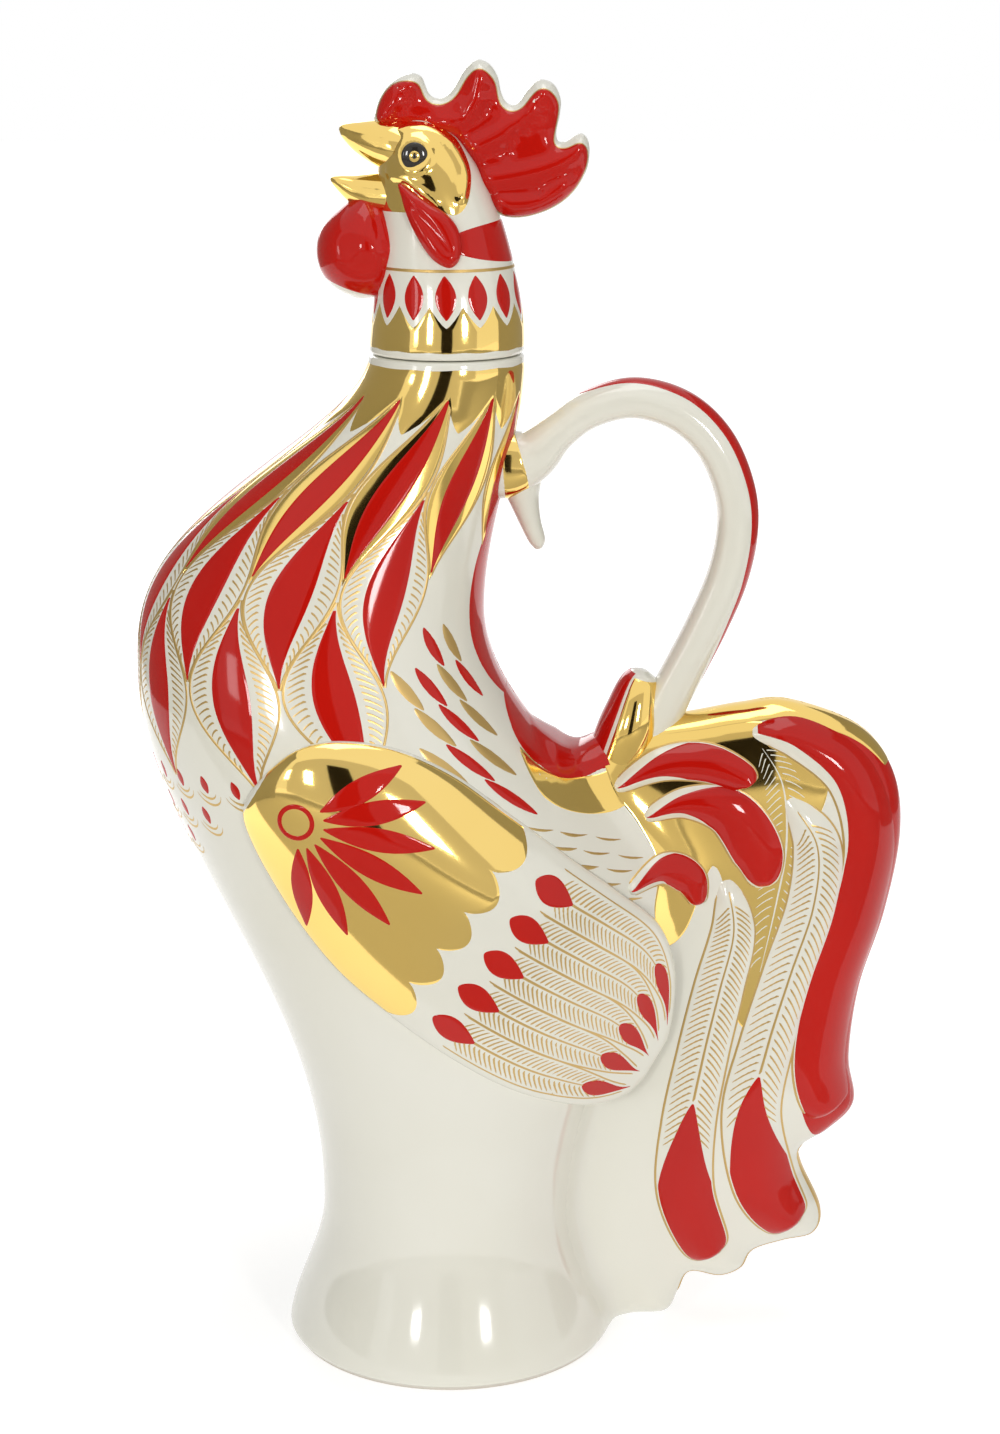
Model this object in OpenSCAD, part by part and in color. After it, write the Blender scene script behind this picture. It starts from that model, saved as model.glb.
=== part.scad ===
// Rooster decanter: a slip-cast porcelain bottle in the shape of a crowing rooster.
// The body, wings, tail and handle are luted into one, and the head lifts off as the stopper.
// The rooster faces -X, +Z is up, and the origin is the centre of the foot on the table.

/* [Body] */
// Diameter of the foot on the table
foot_d = 76; // [70:1:84]
// Diameter of the waist above the foot
waist_d = 59; // [54:1:64]
// Height of the waist
waist_h = 32; // [28:1:38]
// Width of the belly without the wings
belly_w = 80; // [74:1:88]
// Height at which the belly is widest
belly_h = 125; // [118:1:132]
// How far the breast stands in front of the neck's axis
breast_reach = 69; // [62:1:74]
// Height of the fullest part of the breast
breast_h = 158; // [152:1:164]
// How far the rump stands behind the neck's axis
rump_reach = 47; // [42:1:50]
// Height of the rump
rump_h = 112; // [108:1:118]
// How far the nape stands behind the neck's axis
nape_reach = 8; // [6:0.5:11]
// Height of the nape's narrowest point
nape_h = 172; // [168:1:178]
// Outside diameter of the neck at its rim
neck_d = 33.6; // [32:0.2:36]
// Height of the neck's rim
neck_h = 228; // [224:1:234]
// Thickness of the cast wall
wall = 3.6; // [3:0.2:4.6]
// Thickness of the floor above the foot recess
floor_t = 5; // [4:0.5:8]
// Depth of the recess inside the foot ring
recess_depth = 2; // [1:0.5:3]
// Width of the foot ring that touches the table
foot_ring_w = 7; // [5:0.5:10]

/* [Stopper] */
// Bore of the neck's ground seat
bore_d = 25; // [22:0.5:26]
// Length of the ground seat
seat_len = 16; // [12:1:20]
// Length of the plug under the head
plug_len = 14; // [12:1:15]
// Clearance between the plug and the seat
plug_gap = 0.6; // [0.4:0.1:1]
// Thickness of the plug's tube wall
plug_wall = 3.2; // [3:0.2:4]
// Thickness of the plug's closed lower end
plug_floor = 3; // [2.4:0.2:4]
// Vent in that end, which lets the air out of the hollow head when it is fired
vent_d = 2.4; // [2:0.2:3]
// Height of the sealing ring
seal_h = 4; // [3:0.5:5]
// Depth of the ring's groove in the plug
groove_depth = 1.4; // [1:0.1:1.8]
// Running clearance of the sealing ring
run_gap = 0.05; // [0.03:0.01:0.08]
// Thickness of the plug's flange inside the head
flange_t = 3; // [2:0.5:4]
// Width of the flange beyond the neck's bore
flange_lip = 1.5; // [1:0.25:2]

/* [Head] */
// Height of the crown above the neck's rim
crown_h = 50; // [46:1:54]
// Thickness of the head's cast wall
head_wall = 3; // [2.4:0.2:3.4]
// Height of the comb's highest point above the neck's rim
comb_h = 62; // [58:1:66]
// Thickness of the comb at its root
comb_t = 8.8; // [7:0.2:10]
// How far the lower beak stands in front of the neck's axis
beak_reach = 24.6; // [22:0.2:27]
// Diameter of the wattle
wattle_d = 20.6; // [18:0.2:22]
// Diameter of the eye
eye_d = 5.6; // [5:0.2:6.4]

/* [Wing] */
// Length of the wing from its shoulder to its tip
wing_len = 111; // [104:1:114]
// Height of the wing across its feathers
wing_w = 55; // [50:1:58]
// Height of the relief at the shoulder
wing_relief = 4; // [3:0.25:5]

/* [Tail] */
// How far the tail stands behind the neck's axis
tail_reach = 102; // [96:1:108]
// Height of the tail's top
tail_top = 150.6; // [146:0.2:156]
// Height of the tail's lowest edge above the table
tail_low = 1.8; // [1.6:0.1:3]
// Thickness of the tail between its flat sides
tail_t = 20; // [18:0.5:24]
// Height of the plumes above the tail's sides
plume_relief = 2; // [1.5:0.1:2.6]

/* [Handle] */
// How far the handle's loop stands behind the neck's axis
handle_reach = 68.2; // [64:0.2:72]
// Height of the handle's top below the neck's rim
handle_drop = 5.2; // [4:0.2:8]
// Thickness of the handle in the plane of its loop
handle_t = 9.6; // [8.6:0.2:10.6]
// Thickness of the handle across its loop
handle_w = 10.8; // [9.6:0.2:12]
// Depth below the neck's rim at which the handle grows out of the neck
handle_root_drop = 24.5; // [22:0.5:26]

/* [Hidden] */

// Colours of the glazes and the lustre
porcelain = "#f4f2ea";
enamel_red = "#b81c1a";
gold_lustre = "#c9a24a";
eye_black = "#1c1a18";
silicone = "#d9d6cc";

// Facets of the lofted skins
body_sides = 36;
body_rings = 34;
cavity_sides = 24;
cavity_rings = 18;
head_sides = 28;
hollow_sides = 20;
sweep_sides = 12;
sweep_steps = 3;
plume_sides = 8;
plume_steps = 2;
leaf_cells = 9;
round_facets = 96;

foot_r = foot_d / 2;
waist_r = waist_d / 2;
neck_r = neck_d / 2;
bore_r = bore_d / 2;
// Step between the table and the glazed body, inside which the bare foot ring stands
foot_step = 1.2;
floor_z = recess_depth + floor_t;
// What is ground off the cast throat to make the seat
grind = 0.8;
// How far a cut runs past the face that it opens
overshoot = 1;

// The left of the rooster is +Y, as it faces -X
left = 1;
right = -1;

// Curves

function mix(a, b, t) = a + (b - a) * t;
function ease(t) = t * t * (3 - 2 * t);
function clamp01(t) = max(0, min(1, t));

// A spline through p1 and p2, which leaves them as the points beside them say
function spline(p0, p1, p2, p3, t) =
    0.5 * (2 * p1 + (p2 - p0) * t + (2 * p0 - 5 * p1 + 4 * p2 - p3) * t * t
           + (3 * p1 - p0 - 3 * p2 + p3) * t * t * t);

function open_spline(p, steps) =
    let (last = len(p) - 1)
    [for (i = [0 : last - 1], k = [0 : steps - 1])
        spline(p[max(i - 1, 0)], p[i], p[i + 1], p[min(i + 2, last)], k / steps), p[last]];

function closed_spline(p, steps) =
    let (n = len(p))
    [for (i = [0 : n - 1], k = [0 : steps - 1])
        spline(p[(i + n - 1) % n], p[i], p[(i + 1) % n], p[(i + 2) % n], k / steps)];

// The reach at height z of a side that runs through stations [height, reach, bias] in S curves
function reach_at(stations, z) =
    let (i = max([for (k = [0 : len(stations) - 2]) if (k == 0 || z >= stations[k][0]) k]),
         here = stations[i], next = stations[i + 1],
         t = clamp01((z - here[0]) / (next[0] - here[0])))
    mix(here[1], next[1], ease(pow(t, here[2])));

front_side = [[0, foot_r, 0.9], [waist_h, waist_r, 1.15], [breast_h, breast_reach, 1.45], [neck_h, neck_r, 1]];
back_side = [[0, foot_r, 0.9], [waist_h, waist_r, 1], [rump_h, rump_reach, 0.75],
             [nape_h, nape_reach, 1], [neck_h, neck_r, 1]];
flank = [[0, foot_r, 0.9], [waist_h, waist_r, 1], [belly_h, belly_w / 2, 1.1], [neck_h, neck_r, 1]];

// The body's level section at height z: [centre x, half length, half width]
function body_section(z) =
    let (f = reach_at(front_side, z), b = reach_at(back_side, z))
    [(b - f) / 2, (b + f) / 2, reach_at(flank, z)];

// Half the body's width at a point of its side view
function body_y(x, z) =
    let (s = body_section(z), u = (x - s[0]) / s[1])
    abs(u) < 1 ? s[2] * sqrt(1 - u * u) : 0;

// Skins

function oval_ring(x, z, half_len, half_w, sides) =
    [for (j = [0 : sides - 1]) let (a = 360 * j / sides) [x + half_len * cos(a), half_w * sin(a), z]];

// A closed skin over rings of points, with flat ends
module skin(rings) {
    n = len(rings[0]);
    last = len(rings) - 1;
    polyhedron(
        points = [for (r = rings, p = r) p],
        faces = concat(
            [for (i = [0 : last - 1], j = [0 : n - 1])
                [i * n + j, (i + 1) * n + (j + 1) % n, i * n + (j + 1) % n]],
            [for (i = [0 : last - 1], j = [0 : n - 1])
                [i * n + j, (i + 1) * n + j, (i + 1) * n + (j + 1) % n]],
            [[for (j = [0 : n - 1]) j]],
            [[for (j = [n - 1 : -1 : 0]) last * n + j]]));
}

// A horn, limb or feather swept along stations [x, y, z, half width in the side view, half thickness]
module sweep(stations, sides = sweep_sides, steps = sweep_steps, turn = 0) {
    s = open_spline(stations, steps);
    last = len(s) - 1;
    skin([for (i = [0 : last])
        let (before = s[max(i - 1, 0)], after = s[min(i + 1, last)],
             run = norm([after[0] - before[0], after[2] - before[2]]),
             tx = (after[0] - before[0]) / run, tz = (after[2] - before[2]) / run)
        [for (j = [0 : sides - 1])
            let (a = 360 * (j + turn) / sides, w = s[i][3] * cos(a))
            [s[i][0] + tz * w, s[i][1] + s[i][4] * sin(a), s[i][2] - tx * w]]]);
}

// Cast pieces are closed facets, so the cuts inside them stay facets too
module cast() {
    resize([0, 0, 0]) children();
}

// Body

// The outside of the body, which starts a step above the table, over the foot ring
module body_form() {
    skin([for (i = [0 : body_rings])
        let (z = mix(foot_step, neck_h, i / body_rings), s = body_section(z))
        oval_ring(s[0], z, s[1], s[2], body_sides)]);
}

// The cavity keeps the wall's thickness up to a shoulder, where it closes to a throat that runs out of the neck
module body_cavity() {
    shoulder_h = 12;
    round_h = 6;
    throat_z = neck_h - seat_len;
    throat_r = bore_r - grind;
    rings = [for (i = [0 : cavity_rings])
        let (z = mix(floor_z, throat_z, i / cavity_rings), s = body_section(z),
             up = clamp01((z - floor_z) / round_h),
             inset = wall + round_h * (1 - sqrt(1 - pow(1 - up, 2))),
             close = ease(clamp01((z - (throat_z - shoulder_h)) / shoulder_h)))
        oval_ring(mix(s[0], 0, close), z, mix(s[1] - inset, throat_r, close),
                  mix(s[2] - inset, throat_r, close), cavity_sides)];
    skin(concat(rings, [oval_ring(0, neck_h + overshoot, throat_r, throat_r, cavity_sides)]));
}

// The seat in the neck is ground out to a true bore, and the foot to a true ring
module body_vessel() {
    ring_r = foot_r - foot_step;
    color(porcelain)
    difference() {
        union() {
            cast() difference() {
                body_form();
                body_cavity();
            }
            cylinder(r = ring_r, h = floor_z - floor_t / 2, $fn = round_facets);
        }
        translate([0, 0, neck_h - seat_len]) cylinder(r = bore_r, h = seat_len + overshoot, $fn = round_facets);
        translate([0, 0, -overshoot])
            cylinder(r = ring_r - foot_ring_w, h = recess_depth + overshoot, $fn = round_facets);
    }
}

// Tail

tail_root_x = waist_r - 1.5;
tail_middle = [0.45, 0.56];
// Outline of the tail as shares of its length and height, from the saddle over the top and down to the foot
tail_outline = [
    [-0.1, 0.9], [0, 0.93], [0.08, 0.948], [0.216, 0.968], [0.38, 0.983], [0.51, 0.995], [0.65, 1], [0.865, 0.96],
    [0.973, 0.89], [1, 0.795], [0.96, 0.67], [0.89, 0.55], [0.865, 0.435], [0.885, 0.36], [0.81, 0.315],
    [0.725, 0.285], [0.725, 0.255], [0.79, 0.18], [0.77, 0.138], [0.675, 0.125], [0.58, 0.108], [0.545, 0.078],
    [0.475, 0.064], [0.38, 0.071], [0.345, 0.038], [0.31, 0.005], [0.215, 0], [0.11, 0.002], [-0.05, 0.045],
    [-0.11, 0.26], [-0.055, 0.53], [-0.027, 0.73]];
tail_rings = [0.03, 0.4, 0.65, 0.82, 0.93, 0.985];
tail_web_share = 0.7;
tail_web_h = 80;
tail_hollow_share = 0.87;

function tail_at(share) = [mix(tail_root_x, tail_reach, share[0]), mix(tail_low, tail_top, share[1])];

// Half the tail's thickness, which thins towards the web under it and rounds off at its edge
function tail_half(share, z) =
    tail_t / 2 * mix(tail_web_share, 1, ease(clamp01(z / tail_web_h))) * sqrt(1 - pow(share, 4));

// A skin over both sides of the tail that ends at a share of its outline, inset from its flat sides
module tail_skin(share, inset, steps) {
    edge = closed_spline([for (p = tail_outline) tail_at(p)], steps);
    middle = tail_at(tail_middle);
    last = len(tail_rings) - 1;
    side_rings = concat([for (s = tail_rings) [s, -1]], [[1, 0]], [for (k = [last : -1 : 0]) [tail_rings[k], 1]]);
    skin([for (ring = side_rings)
        [for (p = edge)
            let (f = ring[0] * share, q = middle + (p - middle) * f, half = max(tail_half(f, q[1]) - inset, 0))
            [q[0], ring[1] * half, q[1]]]]);
}

module tail_form() {
    tail_skin(1, 0, 2);
}

// The tail is cast hollow, and its hollow opens at the face that is luted to the body
module tail_fan() {
    color(porcelain)
    cast() difference() {
        tail_form();
        body_form();
        tail_skin(tail_hollow_share, wall, 1);
    }
}

// Each plume runs through stations [share of length, share of height, half width]
plume_half_t = 6.96;
plumes = [
    // the outer sickle along the tail's back edge
    [[0.53, 0.962, 2], [0.67, 0.953, 4.6], [0.83, 0.895, 6.4], [0.9, 0.79, 7], [0.868, 0.67, 7],
     [0.803, 0.55, 7], [0.768, 0.445, 7.2], [0.788, 0.37, 6.6], [0.805, 0.345, 3.4]],
    // the inner sickle, which ends in the middle tip
    [[0.64, 0.865, 2.4], [0.73, 0.795, 5.6], [0.725, 0.7, 6.2], [0.66, 0.59, 6.4], [0.595, 0.473, 6.6],
     [0.555, 0.36, 7.2], [0.598, 0.245, 7.8], [0.67, 0.178, 6.4], [0.7, 0.158, 3]],
    // the plume over the web, which ends in the lowest tip
    [[0.46, 0.74, 2.4], [0.485, 0.66, 5.2], [0.445, 0.565, 6], [0.4, 0.46, 6.2], [0.36, 0.34, 6.6],
     [0.355, 0.23, 7], [0.42, 0.135, 6], [0.447, 0.108, 2.8]],
    // the three short curls that spring from the saddle
    [[0.12, 0.88, 1.6], [0.26, 0.914, 3.8], [0.39, 0.918, 4.6], [0.5, 0.898, 3.8], [0.53, 0.885, 1.8]],
    [[0.21, 0.837, 1.6], [0.335, 0.858, 3.8], [0.47, 0.842, 6], [0.555, 0.78, 6.2], [0.575, 0.725, 3]],
    [[0.16, 0.743, 1.6], [0.27, 0.763, 3.6], [0.35, 0.742, 4], [0.38, 0.7, 1.8]]];

module plume_form(stations, side) {
    y = side * (tail_t / 2 + plume_relief - plume_half_t);
    path = [for (s = stations) let (p = tail_at(s)) [p[0], y, p[1], s[2], plume_half_t]];
    half_facet = 0.5;
    sweep(path, plume_sides, plume_steps, half_facet);
}

module tail_plumes(side) {
    color(enamel_red)
    cast() difference() {
        for (stations = plumes) plume_form(stations, side);
        tail_form();
        body_form();
        scroll_form();
    }
}

// Wing

wing_start = [-44.5, 134];
wing_tilt = -29.7;
wing_root_depth = 6;
wing_edge = 0.6;
// Outline of the wing: [share of its length, reach above its axis, reach below it], as shares of its width
wing_outline = [[0, 0.12, -0.06], [0.012, 0.24, 0], [0.04, 0.37, 0.06], [0.1, 0.47, 0.15], [0.2, 0.54, 0.27],
                [0.32, 0.55, 0.37], [0.45, 0.51, 0.42], [0.6, 0.46, 0.46], [0.74, 0.41, 0.48],
                [0.85, 0.34, 0.475], [0.93, 0.2, 0.45], [0.98, 0.02, 0.38], [1, -0.1, 0.28]];

// What the wing lies on: the body's flank, and behind it the tail's side
function wing_bed(x, z) =
    let (flank_y = body_y(x, z), behind = ease(clamp01((x - tail_root_x) / (rump_reach - tail_root_x))),
         tail_y = behind * tail_t / 2, blend = mix(2, 14, ease(clamp01(x / rump_reach))))
    (flank_y + tail_y + sqrt(pow(flank_y - tail_y, 2) + blend * blend)) / 2;

function wing_point(s, across) =
    let (u = s[0] * wing_len, v = mix(-s[2], s[1], across) * wing_w)
    wing_start + [u * cos(wing_tilt) - v * sin(wing_tilt), u * sin(wing_tilt) + v * cos(wing_tilt)];

module wing_form(side) {
    stations = open_spline(wing_outline, 2);
    over = [for (k = [0 : leaf_cells]) [k / leaf_cells, 1]];
    under = [for (k = [leaf_cells : -1 : 0]) [k / leaf_cells, 0]];
    mirror([0, side == left ? 0 : 1, 0])
    skin([for (s = stations)
        let (swell = wing_relief * mix(1, 0.7, s[0]) * sqrt(max(0, 1 - pow(2 * s[0] - 1, 6))))
        [for (p = concat(over, under))
            let (q = wing_point(s, p[0]), bed = wing_bed(q[0], q[1]),
                 rise = wing_edge + swell * sqrt(max(0, 1 - pow(2 * p[0] - 1, 4))))
            [q[0], p[1] == 1 ? bed + rise : bed - wing_root_depth, q[1]]]]);
}

module wing(side) {
    color(gold_lustre)
    cast() difference() {
        wing_form(side);
        body_form();
        tail_form();
        for (stations = plumes) plume_form(stations, side);
    }
}

// Handle

// Where the handle ends, in the rump between the body and the tail
handle_foot = [rump_reach - 5, tail_top - 14.6];
handle_root_h = neck_h - handle_root_drop;

// The loop from the neck over its top and down to the scroll: [x, z, thickness in the loop's plane, across it]
module handle_loop() {
    top = neck_h - handle_drop - handle_t / 2;
    back = handle_reach - handle_t / 2;
    root = handle_root_h;
    t = handle_t / 2;
    w = handle_w / 2;
    over = [
        [neck_r - 9, root, 1.75, 1.22], [neck_r - 2.8, root + 0.4, 1.67, 1.19],
        [neck_r + 2.4, mix(root, top, 0.165), 1.25, 1.06], [mix(neck_r, back, 0.16), mix(root, top, 0.5), 0.94, 1],
        [mix(neck_r, back, 0.305), mix(root, top, 0.83), 0.9, 1], [mix(neck_r, back, 0.51), top, 0.96, 1]];
    // the run down the back, in shares of its way to the foot and of its drop
    down = [[-0.6, 0.034, 1, 1], [-0.25, 0.118, 1, 1], [-0.042, 0.24, 1, 1], [0, 0.354, 1, 1], [0.093, 0.482, 1, 1],
            [0.29, 0.61, 1, 1], [0.495, 0.72, 1, 1], [0.696, 0.826, 1.05, 1], [0.88, 0.922, 1.15, 1.05],
            [1, 1, 1.2, 1.1]];
    stations = concat(over, [for (s = down)
        [back - abs(s[0]) * (back - handle_foot[0]), mix(top, handle_foot[1], s[1]), s[2], s[3]]]);
    sweep([for (s = stations) [s[0], 0, s[1], t * s[2], w * s[3]]], 14);
}

// The thumb spur curls down from the handle's root
module handle_spur() {
    root = handle_root_h;
    sweep([for (s = [[neck_r - 3.4, root - 1, 6.4, 5.6], [neck_r - 0.4, root - 7.8, 5, 4.8],
                     [neck_r + 2.3, root - 13.2, 2.9, 3.2], [neck_r + 3.6, root - 17.2, 1.8, 2],
                     [neck_r + 4, root - 18.6, 0.7, 0.8]]) [s[0], 0, s[1], s[2], s[3]]], 12);
}

module handle() {
    color(porcelain)
    cast() difference() {
        union() {
            handle_loop();
            handle_spur();
        }
        body_form();
        tail_form();
        scroll_form();
    }
}

// The scroll of saddle feathers that the handle grows out of
module scroll_form() {
    stations = [[-5, -2, 7, 7.5], [-1.8, 8, 6.8, 8.6], [-0.3, 14.6, 5.4, 7.4], [0.8, 19, 3.6, 5],
                [1.6, 21.4, 1, 1.4]];
    sweep([for (s = stations) [handle_foot[0] + s[0], 0, handle_foot[1] + s[1], s[2], s[3]]]);
}

module back_scroll() {
    color(gold_lustre)
    cast() difference() {
        scroll_form();
        body_form();
        tail_form();
    }
}

// Head

// The head's level sections: [share of the crown's height, reach in front, reach behind, half width]
head_sections = [[0, neck_r, neck_r, neck_r], [0.16, 16, 16.5, 16.2], [0.32, 15.3, 15.2, 15],
                 [0.48, 14.8, 13.2, 13.2], [0.6, 14.6, 11.3, 12], [0.72, 14.6, 8.8, 11.2], [0.82, 14.2, 6.2, 10],
                 [0.9, 13, 3.4, 8.2], [0.96, 10.6, 0, 5.4], [1, 7.4, -4.2, 1.4]];

module head_loft(inset, low, high, sides) {
    skin([for (s = open_spline(head_sections, 2))
        let (a = max((s[1] + s[2]) / 2 - inset, 0.4))
        oval_ring((s[2] - s[1]) / 2, mix(low, high, s[0]), a, max(s[3] - inset, 0.4), sides)]);
}

module head_form() {
    head_loft(0, neck_h, neck_h + crown_h, head_sides);
}

flange_r = bore_r + flange_lip;
seat_gap = 0.2;

// The head is hollow, and its rim is ground out to a true seat for the plug's flange
module head_shell() {
    color(porcelain)
    difference() {
        cast() difference() {
            head_form();
            head_loft(head_wall, neck_h - overshoot, neck_h + crown_h - head_wall, hollow_sides);
        }
        translate([0, 0, neck_h - overshoot])
            cylinder(r = flange_r + seat_gap, h = flange_t + overshoot, $fn = round_facets);
    }
}

// Comb: its ridge, points and blade, each through stations [x, height from the top, half width, thickness]
module comb_form() {
    t = comb_t / 2;
    top = neck_h + comb_h;
    points = [
        [[-13.6, -12.6, 2, 0.7], [-5, -12.2, 3.4, 1], [3.4, -14.4, 5, 1], [10.4, -20.2, 6.4, 1],
         [14, -27, 5.4, 0.95], [14.8, -31.4, 2.6, 0.6]],
        [[-8, -14.6, 6, 1], [-9.6, -9.4, 5.5, 0.9], [-8.3, -5.2, 4, 0.7], [-6.8, -3.2, 1.6, 0.3]],
        [[2.6, -15, 6, 1], [5.2, -9, 5, 0.9], [6.7, -4, 4, 0.7], [7.2, -0.9, 2.4, 0.42], [7.3, 0, 1, 0.2]],
        [[9, -19, 7, 1], [15, -12.6, 6, 0.9], [18.8, -7.4, 4.4, 0.7], [20.3, -4.4, 2.6, 0.42],
         [20.8, -3.4, 1, 0.2]],
        [[11, -26, 6, 1], [18.6, -24.6, 6.6, 0.95], [25, -22, 5, 0.75], [28, -18, 2.8, 0.5],
         [28.6, -15.4, 1, 0.25]],
        [[10, -24, 5, 0.9], [16, -28, 5, 0.9], [22, -28.4, 3.6, 0.7], [25.4, -26.4, 1.4, 0.3]]];
    for (p = points) sweep([for (s = p) [s[0], 0, top + s[1], s[2], t * s[3]]], plume_sides, plume_steps);
}

module comb() {
    color(enamel_red)
    cast() difference() {
        comb_form();
        head_form();
        beak_form(upper_beak_path);
    }
}

// Beaks: [x, height above the neck's rim, half height, half width]
upper_beak_path = [[-8, 43.6, 5, 7.6], [-13, 45.2, 4.6, 6.2], [-17, 46.4, 3.1, 4], [-20.4, 47.3, 1.4, 1.8],
                   [-beak_reach + 2, 47.8, 0.5, 0.6]];
lower_beak_path = [[-8, 33.6, 4.4, 7.4], [-13.6, 34.4, 3.9, 5.8], [-18, 35.2, 2.8, 3.6], [-22, 36.3, 1.2, 1.5],
                   [-beak_reach, 37, 0.4, 0.5]];

module beak_form(path) {
    sweep([for (s = path) [s[0], 0, neck_h + s[1], s[2], s[3]]], 14);
}

module upper_beak() {
    color(gold_lustre)
    cast() difference() {
        beak_form(upper_beak_path);
        head_form();
    }
}

module lower_beak() {
    color(gold_lustre)
    cast() difference() {
        beak_form(lower_beak_path);
        head_form();
        beak_form(upper_beak_path);
    }
}

// Wattle: a plump lobe under the lower beak, around the throat's middle
module wattle_form() {
    r = wattle_d / 2;
    middle = neck_h + 22;
    stations = [[-15.6, 1.15, 0.24, 0.3], [-16.4, 0.72, 0.66, 0.72], [-17.4, 0.2, 0.96, 0.98],
                [-18, -0.35, 0.92, 0.93], [-18.4, -0.78, 0.6, 0.62], [-18.6, -0.97, 0.2, 0.22]];
    sweep([for (s = stations) [s[0], 0, middle + s[1] * r, s[2] * r, s[3] * r]]);
}

module wattle() {
    color(enamel_red)
    cast() difference() {
        wattle_form();
        head_form();
        beak_form(lower_beak_path);
    }
}

// Ear lobes: a drop below each eye, in relief on the cheek
module ear_lobe(side) {
    color(enamel_red)
    cast() difference() {
        sweep([for (s = [[-9.4, 9, 36, 0.6, 1], [-7.6, 10, 33, 2.6, 2.2], [-4.2, 11, 28.6, 4.2, 2.6],
                         [-0.6, 12, 24.6, 4.2, 2.6], [2, 12.8, 21.8, 2.4, 2], [3, 13.2, 20.7, 0.8, 1]])
            [s[0], side * s[1], neck_h + s[2], s[3], s[4]]], plume_sides, plume_steps);
        head_form();
        wattle_form();
        beak_form(lower_beak_path);
    }
}

// Eyes: a raised button on each cheek
module eye(side) {
    color(eye_black)
    cast() difference() {
        translate([-6.4, side * 8.6, neck_h + 42.4]) sphere(d = eye_d, $fn = hollow_sides);
        head_form();
        beak_form(upper_beak_path);
    }
}

// Stopper's plug: a cup that hangs from a flange in the head, with a vent and a groove for the sealing ring
plug_r = bore_r - plug_gap;
groove_r = plug_r - groove_depth;
groove_z = neck_h - plug_len / 2 - seal_h / 2;

module stopper_plug() {
    color(porcelain)
    translate([0, 0, neck_h])
    rotate_extrude($fn = round_facets)
    polygon([[vent_d / 2, -plug_len], [plug_r - 0.6, -plug_len], [plug_r, -plug_len + 0.6],
             [plug_r, groove_z - neck_h], [groove_r, groove_z - neck_h], [groove_r, groove_z + seal_h - neck_h],
             [plug_r, groove_z + seal_h - neck_h], [plug_r, 0], [flange_r, 0], [flange_r, flange_t],
             [plug_r - plug_wall, flange_t], [plug_r - plug_wall, plug_floor - plug_len],
             [vent_d / 2, plug_floor - plug_len]]);
}

module stopper_seal() {
    color(silicone)
    translate([0, 0, groove_z])
    rotate_extrude($fn = round_facets)
    translate([groove_r + run_gap, run_gap])
    square([bore_r - groove_r - 2 * run_gap, seal_h - 2 * run_gap]);
}

body_vessel();
wing(left);  // left_wing
wing(right);  // right_wing
tail_fan();
tail_plumes(left);  // left_tail_plumes
tail_plumes(right);  // right_tail_plumes
back_scroll();
handle();
head_shell();
comb();
upper_beak();
lower_beak();
wattle();
ear_lobe(left);  // left_ear_lobe
ear_lobe(right);  // right_ear_lobe
eye(left);  // left_eye
eye(right);  // right_eye
stopper_plug();
stopper_seal();
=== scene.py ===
# %% [markdown]
# # A porcelain rooster decanter
# The real thing is a slip-cast bottle: the body holds the drink, the head is its stopper, and a loop
# handle joins the neck to the tail. It is glazed white, painted in red enamel and gilded with lustre.
# Every form here is worked out from short lists of stations, so a reader can change one and see the result.

# %% Frame and tools
import math
import bpy
import bmesh
import numpy as np
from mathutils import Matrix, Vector
from mathutils.geometry import delaunay_2d_cdt


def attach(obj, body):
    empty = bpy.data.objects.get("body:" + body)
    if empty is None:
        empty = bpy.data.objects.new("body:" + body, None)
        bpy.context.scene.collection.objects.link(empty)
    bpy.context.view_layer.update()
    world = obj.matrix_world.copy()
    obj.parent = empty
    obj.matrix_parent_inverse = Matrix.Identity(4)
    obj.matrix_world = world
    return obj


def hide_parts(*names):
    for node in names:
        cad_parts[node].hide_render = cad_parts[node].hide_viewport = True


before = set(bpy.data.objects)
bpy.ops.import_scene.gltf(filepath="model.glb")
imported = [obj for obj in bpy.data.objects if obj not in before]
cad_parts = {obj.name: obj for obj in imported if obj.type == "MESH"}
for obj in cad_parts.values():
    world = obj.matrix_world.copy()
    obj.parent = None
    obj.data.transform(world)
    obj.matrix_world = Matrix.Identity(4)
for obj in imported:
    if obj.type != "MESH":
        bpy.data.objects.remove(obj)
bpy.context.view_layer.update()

MM = 0.001
PI = math.pi
LEFT = 1
RIGHT = -1
HANDS = ((LEFT, "left"), (RIGHT, "right"))

# %% [markdown]
# ## Curves and meshes
# The decanter has no straight line in it, so the whole lesson rests on one spline and a few ways to turn
# rows of points into a mesh. Curve objects could do some of it, but points in an array can also be measured,
# bent and painted on. All lengths are in millimetres until the mesh is made.

# %% Curves


def mix(a, b, t):
    return a + (b - a) * t


def ease(t):
    return t * t * (3 - 2 * t)


def clamp01(t):
    return np.clip(t, 0.0, 1.0)


def bell(*gaps):
    """A soft bump: 1 where every gap is 0, and next to nothing where one is over 2."""
    return np.exp(-sum(gap**2 for gap in gaps))


def unit(v):
    return v / np.maximum(np.linalg.norm(v, axis=-1), 1e-12)[..., None]


def points(*parts):
    """Points from their coordinates; a coordinate that stays the same is given once."""
    return np.stack(np.broadcast_arrays(*parts), -1)


def around(count, first=0.0):
    """The angles of one full turn."""
    return np.linspace(first, first + 2 * PI, count, endpoint=False)


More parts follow.
